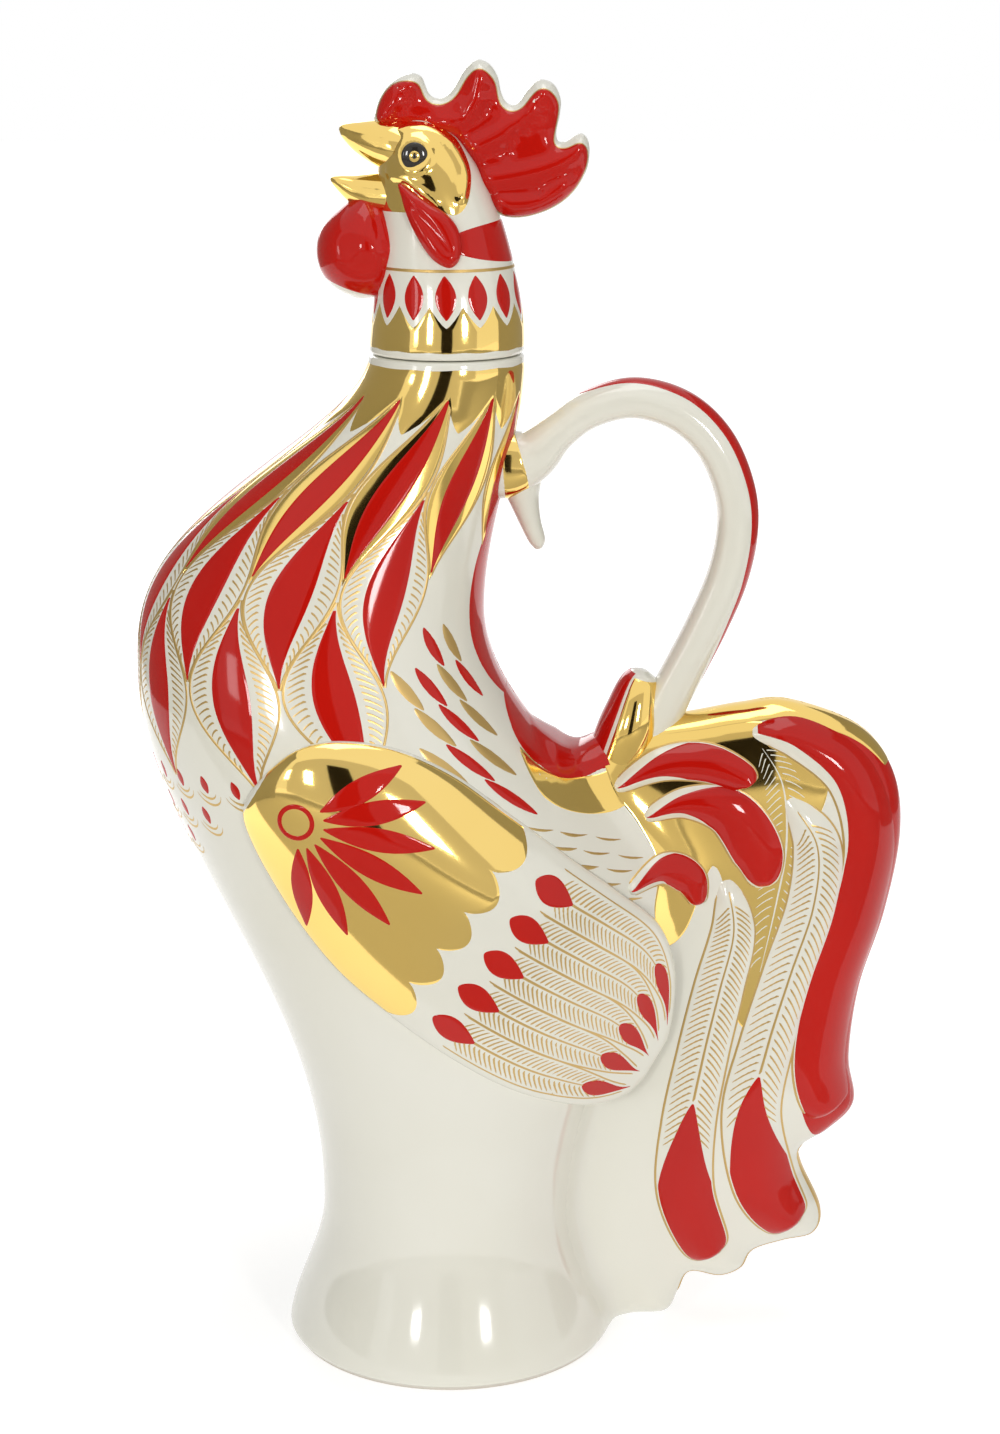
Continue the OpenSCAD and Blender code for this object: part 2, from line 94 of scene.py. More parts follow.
def spline(stations, steps, closed=False):
    """A smooth curve through the stations, with that many steps from each to the next."""
    p = np.asarray(stations, float)
    n = len(p)
    i = np.arange(n if closed else n - 1)
    if closed:
        picks = [(i - 1) % n, i, (i + 1) % n, (i + 2) % n]
    else:
        picks = [np.maximum(i - 1, 0), i, i + 1, np.minimum(i + 2, n - 1)]
    a, b, c, d = (p[k][:, None] for k in picks)
    t = (np.arange(steps) / steps)[None, :, None]
    q = 2 * b + (c - a) * t + (2 * a - 5 * b + 4 * c - d) * t**2 + (3 * b - a - 3 * c + d) * t**3
    q = 0.5 * q.reshape(-1, p.shape[1])
    return q if closed else np.vstack([q, p[-1]])


print("spline of 3 stations and 4 steps:", len(spline([(0, 0), (1, 1), (2, 0)], 4)), "points")


# %% Meshes


def grid_faces(rows, cols, wrap=False):
    """Quads between rows of points; wrap joins the last column to the first."""
    i, j = np.meshgrid(np.arange(rows - 1), np.arange(cols if wrap else cols - 1), indexing="ij")
    a = i * cols + j
    b = i * cols + (j + 1) % cols
    return np.stack([a, b, b + cols, a + cols], -1).reshape(-1, 4).tolist()


def piece(name, shape, finish, body="decanter", stands_for=None, slot=None, closed=True):
    """One smooth mesh that rides on a body, in place of a CAD node if one is named."""
    verts, faces = shape
    mesh = bpy.data.meshes.new(name)
    mesh.from_pydata((np.asarray(verts, float) * MM).tolist(), [], faces)
    if closed:
        bm = bmesh.new()
        bm.from_mesh(mesh)
        bmesh.ops.remove_doubles(bm, verts=bm.verts, dist=1e-7)
        bmesh.ops.recalc_face_normals(bm, faces=bm.faces)
        bm.to_mesh(mesh)
        bm.free()
    mesh.polygons.foreach_set("use_smooth", [True] * len(mesh.polygons))
    mesh.update()
    obj = bpy.data.objects.new(name, mesh)
    bpy.context.scene.collection.objects.link(obj)
    mesh.materials.append(finish)
    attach(obj, body)
    if stands_for:
        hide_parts(stands_for)
    print(name, len(mesh.vertices), "points")
    return obj


def skin(rings):
    """Points and faces of a closed skin over rings of equal count, with a fan at each end."""
    rings = np.asarray(rings, float)
    rows, cols = rings.shape[:2]
    faces = grid_faces(rows, cols, wrap=True)
    verts = np.vstack([rings.reshape(-1, 3), rings[0].mean(0), rings[-1].mean(0)])
    low = rows * cols
    last = (rows - 1) * cols
    faces += [[low, (j + 1) % cols, j] for j in range(cols)]
    faces += [[low + 1, last + j, last + (j + 1) % cols] for j in range(cols)]
    return verts, faces


def oval(x, z, half_len, half_w, sides):
    """A level ring round the upright axis that starts at the front, which faces -X."""
    a = around(sides)
    return points(x - half_len * np.cos(a), half_w * np.sin(a), z)


def round_rings(profile, sides):
    """Level circles round the upright axis, from (height, radius) stations."""
    return [oval(0, z, r, r, sides) for z, r in profile]


def lathe(profile, z0, sides=96):
    """A closed turning of (radius, height) stations, which come back to where they started."""
    a = around(sides)
    r, z = np.array(profile + profile[:1], float).T[:, :, None]
    rows = points(r * np.cos(a), r * np.sin(a), z0 + z)
    return rows.reshape(-1, 3), grid_faces(len(rows), sides, wrap=True)


print("tube of 2 rings and 6 sides:", len(grid_faces(2, 6, wrap=True)), "faces")


# %% [markdown]
# ## Finishes
# White porcelain under a clear glaze, red enamel and polished gold lustre make the look of the piece. Gold
# drawn with a brush is duller, the foot ring is bare, the eye is black and the sealing ring is silicone.
# Fired glaze is never quite even, so one node group gives a slow drift of tone, a fine ripple and a few
# specks, and each finish takes what it needs from it. Painted images could do this too, but noise in the
# object's own space needs no unwrapping and shows no seams.

# %% Shader nodes


def set_sockets(node, values):
    for socket, value in values.items():
        node.inputs[socket].default_value = value


def add_node(tree, kind, values=None, **settings):
    """A new node of a tree, with its settings and the values of its sockets."""
    node = tree.nodes.new(kind)
    for name, value in settings.items():
        setattr(node, name, value)
    set_sockets(node, values or {})
    return node


def wire(tree, *links):
    """Links, each from a node's output to another node's input."""
    for source, output, target, entry in links:
        tree.links.new(source.outputs[output], target.inputs[entry])


# %% Glaze group


def glaze_group():
    """Drift, ripple and specks of a fired glaze, in metres of the object's own space."""
    group = bpy.data.node_groups.new("fired_glaze", "ShaderNodeTree")
    new_socket = group.interface.new_socket
    for name, value in (("Drift Scale", 18.0), ("Ripple Scale", 160.0), ("Speck Scale", 420.0)):
        new_socket(name, in_out="INPUT", socket_type="NodeSocketFloat").default_value = value
    for name in ("Drift", "Ripple", "Specks"):
        new_socket(name, in_out="OUTPUT", socket_type="NodeSocketFloat")
    source = add_node(group, "NodeGroupInput")
    out = add_node(group, "NodeGroupOutput")
    where = add_node(group, "ShaderNodeTexCoord")
    drift = add_node(group, "ShaderNodeTexNoise", {"Detail": 3})
    ripple = add_node(group, "ShaderNodeTexNoise", {"Detail": 2})
    speck = add_node(group, "ShaderNodeTexVoronoi")
    cut = add_node(group, "ShaderNodeMapRange", {"From Min": 0.10, "From Max": 0.04})
    for name, texture in (("Drift", drift), ("Ripple", ripple), ("Speck", speck)):
        wire(group, (source, name + " Scale", texture, "Scale"), (where, "Object", texture, "Vector"))
    wire(group, (drift, "Fac", out, "Drift"), (ripple, "Fac", out, "Ripple"),
         (speck, "Distance", cut, "Value"), (cut, "Result", out, "Specks"))
    return group


fired_glaze = glaze_group()
print("glaze group:", len(fired_glaze.nodes), "nodes")

# %% Fired finishes


def fired(name, pale, deep, rough, metal=0.0, coat=0.0, ripple=0.02, shine=0.5, specks=0.0):
    """A fired finish: its colour drifts from pale to deep, and its gloss ripples a little."""
    material = bpy.data.materials.new(name)
    material.use_nodes = True
    material.diffuse_color = (*pale, 1)
    tree = material.node_tree
    shader = tree.nodes["Principled BSDF"]
    set_sockets(shader, {"Metallic": metal, "Specular IOR Level": shine, "Coat Weight": coat,
                         "Coat Roughness": 0.03})
    glaze = add_node(tree, "ShaderNodeGroup", node_tree=fired_glaze)
    tone = add_node(tree, "ShaderNodeMix", {"A": (*pale, 1), "B": (*deep, 1)}, data_type="RGBA")
    spread = add_node(tree, "ShaderNodeMapRange", {"From Min": 0.3, "From Max": 0.75})
    gloss = add_node(tree, "ShaderNodeMapRange", {"To Min": rough * 0.7, "To Max": rough * 1.4})
    bump = add_node(tree, "ShaderNodeBump", {"Strength": ripple, "Distance": 0.0004})
    shade = (spread, "Result")
    if specks:
        dark = add_node(tree, "ShaderNodeMath", {1: specks}, operation="MULTIPLY_ADD", use_clamp=True)
        wire(tree, (glaze, "Specks", dark, 0), (spread, "Result", dark, 2))
        shade = (dark, "Value")
    wire(tree, (glaze, "Drift", spread, "Value"), (*shade, tone, "Factor"),
         (tone, "Result", shader, "Base Color"), (glaze, "Drift", gloss, "Value"),
         (gloss, "Result", shader, "Roughness"), (glaze, "Ripple", bump, "Height"),
         (bump, "Normal", shader, "Normal"))
    return material


porcelain = fired("porcelain_glaze", (0.83, 0.82, 0.735), (0.79, 0.775, 0.67), 0.10, coat=0.3, specks=0.25)
bisque = fired("bare_foot", (0.74, 0.70, 0.62), (0.66, 0.61, 0.53), 0.62, ripple=0.2)
red = fired("red_enamel", (0.57, 0.010, 0.005), (0.48, 0.006, 0.003), 0.06, shine=0.3)
gold = fired("gold_lustre", (0.94, 0.69, 0.235), (0.88, 0.61, 0.17), 0.07, metal=1.0, ripple=0.03)
brushed_gold = fired("gold_brushwork", (0.60, 0.41, 0.15), (0.50, 0.33, 0.11), 0.34, metal=0.75, ripple=0.1)
black = fired("eye_black", (0.02, 0.017, 0.015), (0.03, 0.025, 0.02), 0.08)
silicone = fired("seal_silicone", (0.62, 0.61, 0.57), (0.56, 0.55, 0.5), 0.42)
print("finishes:", [m.name for m in (porcelain, bisque, red, gold, brushed_gold, black, silicone)])

# %% [markdown]
# ## Body
# The bottle's sides run in S curves from the foot to the waist, the breast and the neck. A lathe can't make
# it, because its level sections are ovals whose middle wanders forwards, so it is lofted over oval rings.
# The same rings turn in at the rim and run down the inside, because the head lifts off and shows the bore.

# %% Body sections
FOOT_R = 38.0
WAIST_H = 32.0
WAIST_R = 29.5
NECK_R = 16.8
NECK_H = 228.0
BORE_R = 12.5
WALL = 3.6
FLOOR_Z = 7.0
THROAT_Z = 212.0
FRONT_SIDE = [(0, FOOT_R, 0.9), (WAIST_H, WAIST_R, 1.15), (158, 68.85, 1.45), (NECK_H, NECK_R, 1)]
BACK_SIDE = [(0, FOOT_R, 0.9), (WAIST_H, WAIST_R, 1), (112, 47, 0.75), (172, 8, 1), (NECK_H, NECK_R, 1)]
FLANK = [(0, FOOT_R, 0.9), (WAIST_H, WAIST_R, 1), (125, 40, 1.1), (NECK_H, NECK_R, 1)]


def reach_at(stations, z):
    """The reach at height z of a side that runs through stations (height, reach, bias) in S curves."""
    z = np.asarray(z, float)
    out = np.full(z.shape, float(stations[0][1]))
    for (h0, r0, bias), (h1, r1, _) in zip(stations[:-1], stations[1:]):
        t = clamp01((z - h0) / (h1 - h0))
        out = np.where(z >= h0, mix(r0, r1, ease(t**bias)), out)
    return out


def body_section(z):
    """The middle of an oval section, half its length and half its width."""
    f = reach_at(FRONT_SIDE, z)
    b = reach_at(BACK_SIDE, z)
    return (b - f) / 2, (b + f) / 2, reach_at(FLANK, z)


def half_width(section, x, z):
    """Half the width of a form of oval sections at a point of its side view, or 0 outside it."""
    cx, half_len, half_w = section(z)
    u = (np.asarray(x, float) - cx) / half_len
    return half_w * np.sqrt(np.maximum(1 - u * u, 0))


def body_y(x, z):
    return half_width(body_section, x, z)


def cavity_oval(z, shoulder=12.0, corner=6.0):
    """The inside's section: a wall away from the outside, round at the floor and drawn in to the throat."""
    cx, half_len, half_w = body_section(z)
    up = clamp01((z - FLOOR_Z) / corner)
    wall = WALL + corner * (1 - np.sqrt(1 - (1 - up) ** 2))
    shut = ease(clamp01((z - (THROAT_Z - shoulder)) / shoulder))
    r = BORE_R - 0.8
    return mix(cx, 0, shut), z, mix(half_len - wall, r, shut), mix(half_w - wall, r, shut)


print("half widths at waist and belly:", reach_at(FLANK, [WAIST_H, 125]), "mm")

# %% Body mesh
SIDES = 168
FOOT_RING_H = 1.1
FOOT_RING_R = 29.6
FOOT_PROFILE = [(2.0, 0.4), (2.0, 29.2), (1.6, 29.8), (0.3, 30.2), (0.0, 30.7), (0.0, 36.1), (0.25, 36.6),
                (1.0, 36.8), (1.2, 37.2)]
FOOT_TUCK = {1.5: 0.35, 2.0: 0.08}
LIP_PROFILE = [(227.6, 16.68), (227.9, 16.4), (228.0, 16.0), (228.0, 13.2), (227.85, 12.8), (227.4, BORE_R),
               (222, BORE_R), (216, BORE_R), (212.4, BORE_R)]
rings = round_rings(FOOT_PROFILE, SIDES)
for z in [*FOOT_TUCK, *np.linspace(2.8, 227.2, 168)]:
    cx, half_len, half_w = body_section(z)
    tuck = FOOT_TUCK.get(z, 0.0)
    rings.append(oval(cx, z, half_len - tuck, half_w - tuck, SIDES))
rings += round_rings(LIP_PROFILE, SIDES)
rings += [oval(*cavity_oval(z), SIDES) for z in [*np.linspace(211.6, 14, 56), 12, 10, 8.6, 7.6, 7.1, 7.0]]
vessel = piece("body_vessel_cast", skin(rings), porcelain, stands_for="body_vessel", slot="porcelain")
vessel.data.materials.append(bisque)
for face in vessel.data.polygons:
    if face.center.z < FOOT_RING_H * MM and face.center.xy.length > FOOT_RING_R * MM:
        face.material_index = 1
print("body height", max(v.co.z for v in vessel.data.vertices) / MM, "mm")

# %% [markdown]
# ## Tail
# The tail is a hollow fan with a web down to the foot. From the side it is an outline with plume tips, so it
# is made as a plate: the outline, rows of points that close in from it, and a fill of triangles. Its height
# off the middle plane is a function, which also rounds its edge and fillets it into the body. A boolean
# union could join the two as well, but it would leave a hard crease where the potter smooths the slip.

# %% Tail outline
TAIL_ROOT = 28.0
TAIL_REACH = 101.8
TAIL_TOP = 150.6
TAIL_LOW = 1.8
TAIL_HALF = 10.0
TAIL_OUTLINE = [
    (-0.22, 0.96), (-0.2, 1.0), (-0.13, 0.972), (-0.055, 0.946), (0.005, 0.934), (0.075, 0.948),
    (0.216, 0.968), (0.38, 0.983), (0.51, 0.995), (0.65, 1),
    (0.865, 0.96), (0.973, 0.89), (1, 0.795), (0.96, 0.67), (0.89, 0.55), (0.865, 0.435), (0.885, 0.36),
    (0.81, 0.315), (0.725, 0.285), (0.725, 0.255), (0.79, 0.18), (0.77, 0.138), (0.675, 0.125),
    (0.58, 0.108), (0.545, 0.078), (0.475, 0.064), (0.38, 0.071), (0.345, 0.038), (0.31, 0.005),
    (0.215, 0), (0.11, 0.002), (-0.05, 0.045), (-0.11, 0.26), (-0.055, 0.53), (-0.1, 0.8)]


def tail_at(share):
    """Places in the side view, from shares of the tail's length and height."""
    s = np.asarray(share, float)
    return points(mix(TAIL_ROOT, TAIL_REACH, s[..., 0]), mix(TAIL_LOW, TAIL_TOP, s[..., 1]))


print("tail outline:", len(TAIL_OUTLINE), "stations")

# %% Flat outlines
CHUNK = 2000


def even(line, step, closed=True):
    """The same line with points an even step apart."""
    p = np.vstack([line, line[:1]]) if closed else np.asarray(line, float)
    run = np.concatenate([[0], np.cumsum(np.linalg.norm(np.diff(p, axis=0), axis=1))])
    count = max(int(round(run[-1] / step)), 4)
    at = np.linspace(0, run[-1], count, endpoint=not closed)
    return np.stack([np.interp(at, run, p[:, k]) for k in range(p.shape[1])], -1)


def closed_line(stations, steps, step):
    """A smooth closed line through stations, with points an even step apart."""
    return even(spline(stations, steps, closed=True), step)


def to_line(q, line, closed=True):
    """Each point's distance to a line of points."""
    q = np.asarray(q, float).reshape(-1, 2)
    a = np.asarray(line, float)
    b = np.roll(a, -1, 0)
    if not closed:
        a, b = a[:-1], b[:-1]
    d = b - a
    size = np.maximum((d * d).sum(1), 1e-12)
    gap = np.empty(len(q))
    for k in range(0, len(q), CHUNK):
        rel = q[k:k + CHUNK, None] - a
        t = clamp01((rel * d).sum(-1) / size)
        gap[k:k + CHUNK] = np.sqrt(((rel - t[..., None] * d) ** 2).sum(-1).min(1))
    return gap


def inside(q, line):
    """Which points lie inside a closed line."""
    q = np.asarray(q, float).reshape(-1, 2)
    a = np.asarray(line, float)
    b = np.roll(a, -1, 0)
    drop = np.where(np.abs(b[:, 1] - a[:, 1]) < 1e-12, 1e-12, b[:, 1] - a[:, 1])
    hit = np.empty(len(q), bool)
    for k in range(0, len(q), CHUNK):
        x, y = q[k:k + CHUNK, :1], q[k:k + CHUNK, 1:]
        level = (a[:, 1] > y) != (b[:, 1] > y)
        ahead = x < (b[:, 0] - a[:, 0]) * (y - a[:, 1]) / drop + a[:, 0]
        hit[k:k + CHUNK] = (level & ahead).sum(1) % 2 == 1
    return hit


def inset(outline, d):
    """The points of an outline moved inwards by d, without those that would cross another stretch."""
    after = np.roll(outline, -1, 0)
    ahead = after - np.roll(outline, 1, 0)
    inward = np.stack([-ahead[:, 1], ahead[:, 0]], -1) / np.linalg.norm(ahead, axis=1)[:, None]
    turns = np.sign(np.sum(outline[:, 0] * after[:, 1] - outline[:, 1] * after[:, 0]))
    row = outline + inward * turns * np.reshape(d, (-1, 1))
    return row[(to_line(row, outline) > d * 0.93) & inside(row, outline)]


# %% Plates


def plate_points(outline, cell, closes):
    """A fill for an outline: rows that close in from it, then an even field, joined by triangles."""
    rows = [inset(outline, d)[:: 1 if d < 1.2 else 2] for d in closes]
    low, high = outline.min(0), outline.max(0)
    gx, gy = np.meshgrid(np.arange(low[0], high[0], cell), np.arange(low[1], high[1], cell * 0.87))
    gx = gx + (np.arange(len(gx)) % 2)[:, None] * cell / 2
    middle = np.stack([gx.ravel(), gy.ravel()], -1)
    middle = middle[inside(middle, outline)]
    middle = middle[to_line(middle, outline) > closes[-1] + cell * 0.5]
    edges = [(k, (k + 1) % len(outline)) for k in range(len(outline))]
    done = delaunay_2d_cdt([Vector(p) for p in np.vstack([outline, *rows, middle])], edges, [], 1, 1e-6)
    return np.array([tuple(v) for v in done[0]]), [list(f) for f in done[2]]


def plate(name, outline, height, finish, cell, closes, **how):
    """A two-sided plate whose half thickness is a function of the point in its side view."""
    flat, tris = plate_points(outline, cell, closes)
    rim = to_line(flat, outline) < 1e-4
    x, z = flat.T
    y = np.where(rim, 0.0, height(x, z))
    n = len(flat)
    verts = np.vstack([points(x, y, z), points(x, -y, z)])
    other = np.where(rim, np.arange(n), np.arange(n) + n)
    faces = tris + [[int(other[f[0]]), int(other[f[2]]), int(other[f[1]])] for f in tris]
    used = sorted({k for f in faces for k in f})
    place = {k: i for i, k in enumerate(used)}
    return piece(name, (verts[used], [[place[k] for k in f] for f in faces]), finish, **how)


# %% Tail skin
tail_edge = closed_line(tail_at(TAIL_OUTLINE), 10, 0.9)
WEB_FILLET = 9.0
RUMP_FILLET = 24.0
WEB_TOP = 80.0
EDGE_ROUND = 26.0
print("tail edge:", len(tail_edge), "points")


def depth_table(outline, cell=0.5, margin=12.0):
    low, high = outline.min(0) - margin, outline.max(0) + margin
    xs, zs = np.arange(low[0], high[0] + cell, cell), np.arange(low[1], high[1] + cell, cell)
    q = np.stack(np.meshgrid(xs, zs, indexing="ij"), -1).reshape(-1, 2)
    table = (to_line(q, outline) * np.where(inside(q, outline), 1, -1)).reshape(len(xs), len(zs))

    def depth(x, z):
        i = np.clip((x - low[0]) / cell, 0, len(xs) - 1.001)
        j = np.clip((z - low[1]) / cell, 0, len(zs) - 1.001)
        i0, j0 = i.astype(int), j.astype(int)
        lower = mix(table[i0, j0], table[i0 + 1, j0], i - i0)
        upper = mix(table[i0, j0 + 1], table[i0 + 1, j0 + 1], i - i0)
        return mix(lower, upper, j - j0)

    return depth


tail_depth = depth_table(tail_edge)


def tail_core(x, z):
    """Half the tail's thickness: thinner in the web, rounded at its edge and gently domed."""
    web = mix(0.7, 1.0, ease(clamp01(z / WEB_TOP)))
    return TAIL_HALF * web * (1 - (1 - clamp01(tail_depth(x, z) / EDGE_ROUND)) ** 2.6) ** (1 / 2.4)


def merged_y(x, z, fillet):
    """Half the width of body and tail melted together, found by halving steps along the width."""
    x, z = np.broadcast_arrays(np.asarray(x, float), np.asarray(z, float))
    cx, half_len, half_w = body_section(z)
    u = (x - cx) / half_len
    deep = tail_depth(x, z)
    core = tail_core(x, z)
    low, high = np.zeros(x.shape), np.full(x.shape, 60.0)
    for _ in range(22):
        y = (low + high) / 2
        v = y / half_w
        r = np.maximum(np.hypot(u, v), 1e-6)
        from_body = (r - 1) * r / np.maximum(np.hypot(u / half_len, v / half_w), 1e-6)
        from_tail = np.where(deep > 0, y - core, np.hypot(y, deep))
        h = np.maximum(fillet - np.abs(from_body - from_tail), 0) / fillet
        out = np.minimum(from_body, from_tail) - h**3 * fillet / 6 > 0
        low, high = np.where(out, low, y), np.where(out, y, high)
    return (low + high) / 2


def tail_skin(x, z):
    """The side of tail and body together. The fillet is wide on the rump, tight at the web, and runs out
    towards the tail's edge on the back."""
    fillet = mix(WEB_FILLET, RUMP_FILLET, ease(clamp01((z - 70.0) / 35.0)))
    on_back = clamp01((z - 128.0) / 10.0) * clamp01((24.0 - x) / 7.0)
    runs_out = mix(1.0, ease(clamp01(tail_depth(x, z) / 9.0)), on_back)
    return merged_y(x, z, np.maximum(fillet * runs_out, 0.05))


def tail_y(x, z):
    """The tail's own side, which slips under the body's skin where the fillet runs out."""
    b = body_y(x, z)
    y = tail_skin(x, z)
    sink = 0.12 * (1 - clamp01((y - b) / 0.4)) + 0.5 * (1 - clamp01((y - b) / 0.01))
    return np.where(b > 0, np.maximum(y - sink, 0.3), y)


# %% Tail mesh
TAIL_CLOSES = [0.06, 0.22, 0.5, 0.9, 1.5, 2.3, 3.3]
plate("tail_fan_cast", tail_edge, tail_y, porcelain, 1.25, TAIL_CLOSES, stands_for="tail_fan",
      slot="porcelain")

# %% [markdown]
# ## Draping
# Plumes, enamel and lustre all lie on something. A chart gives a surface's point for two numbers, and a
# ribbon is a strip along a line of that chart, whose width is measured in millimetres on the surface. The
# same tool lays a plume two millimetres proud and a brush stroke a twentieth of a millimetre proud. Colour
# in the material would be flat, while fired enamel stands up a little and catches the light at its edge.

# %% Charts


def chart_frame(chart, u, v, step=1e-3):
    """The chart's points, and how they move with each of its two numbers."""
    p = chart(u, v)
    return p, (chart(u + step, v) - p) / step, (chart(u, v + step) - p) / step


def faced(chart, u, v, out):
    """Notes on a chart which way is out, tested at one of its points."""
    _, pu, pv = chart_frame(chart, np.array(float(u)), np.array(float(v)))
    chart.sign = float(np.sign(np.cross(pu, pv) @ np.array(out, float)))
    return chart


def side_chart(height, side, x, z):
    """A chart of one side of a form whose half width is a function of its side view."""
    return faced(lambda u, v: points(u, side * height(u, v), v), x, z, (0, side, 0))


def wrap_chart(section, scale, middle):
    """A chart of a form of oval sections: the angle from the front times a scale, and the height."""

    def chart(u, z):
        a = np.asarray(u) / scale
        cx, half_len, half_w = section(z)
        return points(cx - half_len * np.cos(a), half_w * np.sin(a), z)

    return faced(chart, 0, middle, (-1, 0, 0))


def flat_face(c, flat):
    """Flattens the inner half of a ring, as a pulled handle is pressed by the thumb."""
    return np.where(c > 0, np.sign(c) * np.abs(c) ** (1 - 0.6 * flat) * (1 - 0.12 * flat), c)


def sweep_chart(stations, steps=24, flat=0.0):
    """A chart of a ring carried along stations (x, y, z, half width in the side view, half thickness):
    which station, in whole numbers and shares, and the angle round it."""
    s = spline(stations, steps)
    at = np.arange(len(s)) / steps
    run = unit(np.gradient(s[:, [0, 2]], axis=0))

    def chart(t, a):
        x, y, z, w, h = (np.interp(t, at, s[:, k]) for k in range(5))
        w = w * flat_face(np.cos(a), flat)
        return points(x + np.interp(t, at, run[:, 1]) * w, y + h * np.sin(a),
                      z - np.interp(t, at, run[:, 0]) * w)

    return faced(chart, len(stations) / 2, PI / 2, (0, 1, 0))


def swept(stations, sides, steps, flat=0.0):
    """A closed skin over such a sweep."""
    t = np.arange((len(stations) - 1) * steps + 1) / steps
    return skin(sweep_chart(stations, steps, flat)(t[:, None], around(sides)))


# %% Paint
RED_LIFT = 0.09
LINE_LIFT = 0.08


class Paint:
    """Strips, patches and fills gathered into one mesh, all draped over charts."""

    def __init__(self):
        self.verts = []
        self.faces = []
        self.count = 0

    def add(self, verts, faces, turn):
        faces = np.asarray(faces) + self.count
        self.faces += (faces[:, ::-1] if turn else faces).tolist()
        self.verts.append(verts)
        self.count += len(verts)

    def patch(self, chart, u, v, lift, sink=0.05, wrap=False):
        """A field of chart points, raised by lift, whose border sinks under the surface."""
        u, v = np.broadcast_arrays(u, v)
        p, pu, pv = chart_frame(chart, u, v)
        h = np.array(np.broadcast_to(lift, u.shape), float)
        h[[0, -1]] = -sink
        if not wrap:
            h[:, [0, -1]] = -sink
        verts = p + unit(np.cross(pu, pv)) * chart.sign * h[..., None]
        self.add(verts.reshape(-1, 3), grid_faces(*u.shape, wrap=wrap), chart.sign > 0)

    def ribbon(self, chart, line, half, lift, cells=4, crown=0.35, sink=0.05):
        """A strip along a line of chart points, with half widths in millimetres on the surface."""
        line = np.asarray(line, float)
        half = np.broadcast_to(half, len(line))
        p, pu, pv = chart_frame(chart, line[:, 0], line[:, 1])
        across = np.cross(unit(np.cross(pu, pv)), unit(np.gradient(p, axis=0)))
        uu, uv, vv = (pu * pu).sum(1), (pu * pv).sum(1), (pv * pv).sum(1)
        au, av = (pu * across).sum(1), (pv * across).sum(1)
        det = np.maximum(uu * vv - uv * uv, 1e-12)
        s = np.linspace(-1, 1, cells + 1)
        u = line[:, :1] + ((vv * au - uv * av) / det * half)[:, None] * s
        v = line[:, 1:] + ((uu * av - uv * au) / det * half)[:, None] * s
        rise = np.broadcast_to(lift, len(line))[:, None] * np.maximum(1 - s**2, 0) ** crown
        self.patch(chart, u, v, rise, sink)

    def fill(self, chart, outline, lift, cell=1.0, sink=0.05):
        """A filled outline of chart points in millimetres; lift may be a function of point and depth."""
        flat, tris = plate_points(outline, cell, [0.12, 0.5])
        depth = to_line(flat, outline)
        p, pu, pv = chart_frame(chart, flat[:, 0], flat[:, 1])
        h = lift(flat, depth) if callable(lift) else np.full(len(flat), float(lift))
        h = np.where(depth < 1e-4, -sink, h)
        self.add(p + unit(np.cross(pu, pv)) * chart.sign * h[:, None], tris, chart.sign < 0)

    def make(self, name, finish, body="decanter", **how):
        return piece(name, (np.vstack(self.verts), self.faces), finish, body, closed=False, **how)


# %% Strokes


def field(first, second, rows, cols):
    """Two fields of chart numbers: the first from row to row, the second from column to column."""
    return np.meshgrid(np.linspace(*first, rows), np.linspace(*second, cols), indexing="ij")


def along(first, last, count, across=0.0):
    """A straight line of a chart, at one place across it."""
    return points(np.linspace(first, last, count), across)


def leaf_widths(count, full, thin=0.08, power=0.8):
    """Half widths of a leaf that is thin at both ends."""
    return np.maximum(full * np.sin(PI * np.linspace(0, 1, count)) ** power, thin)


def herringbone(paint, chart, first, last, count, inner, outer, slant, half, lift=0.06):
    """Barbs of a feather, in pairs that leave the quill and bend towards the tip."""
    s = np.linspace(0, 1, 6)
    for t in np.linspace(first, last, count):
        for hand in (-1, 1):
            line = points(t + slant * s**1.4, hand * mix(inner, outer, s))
            paint.ribbon(chart, line, np.linspace(half, half * 0.45, 6), lift, cells=2)


def edge_lines(paint, chart, span, across, half, lift, cells, hands=(-1, 1)):
    """Lines along the edges of a feather; span is first, last and count."""
    for hand in hands:
        paint.ribbon(chart, along(*span, hand * across), half, lift, cells)


print("half widths along a leaf:", leaf_widths(5, 1.0).round(2))


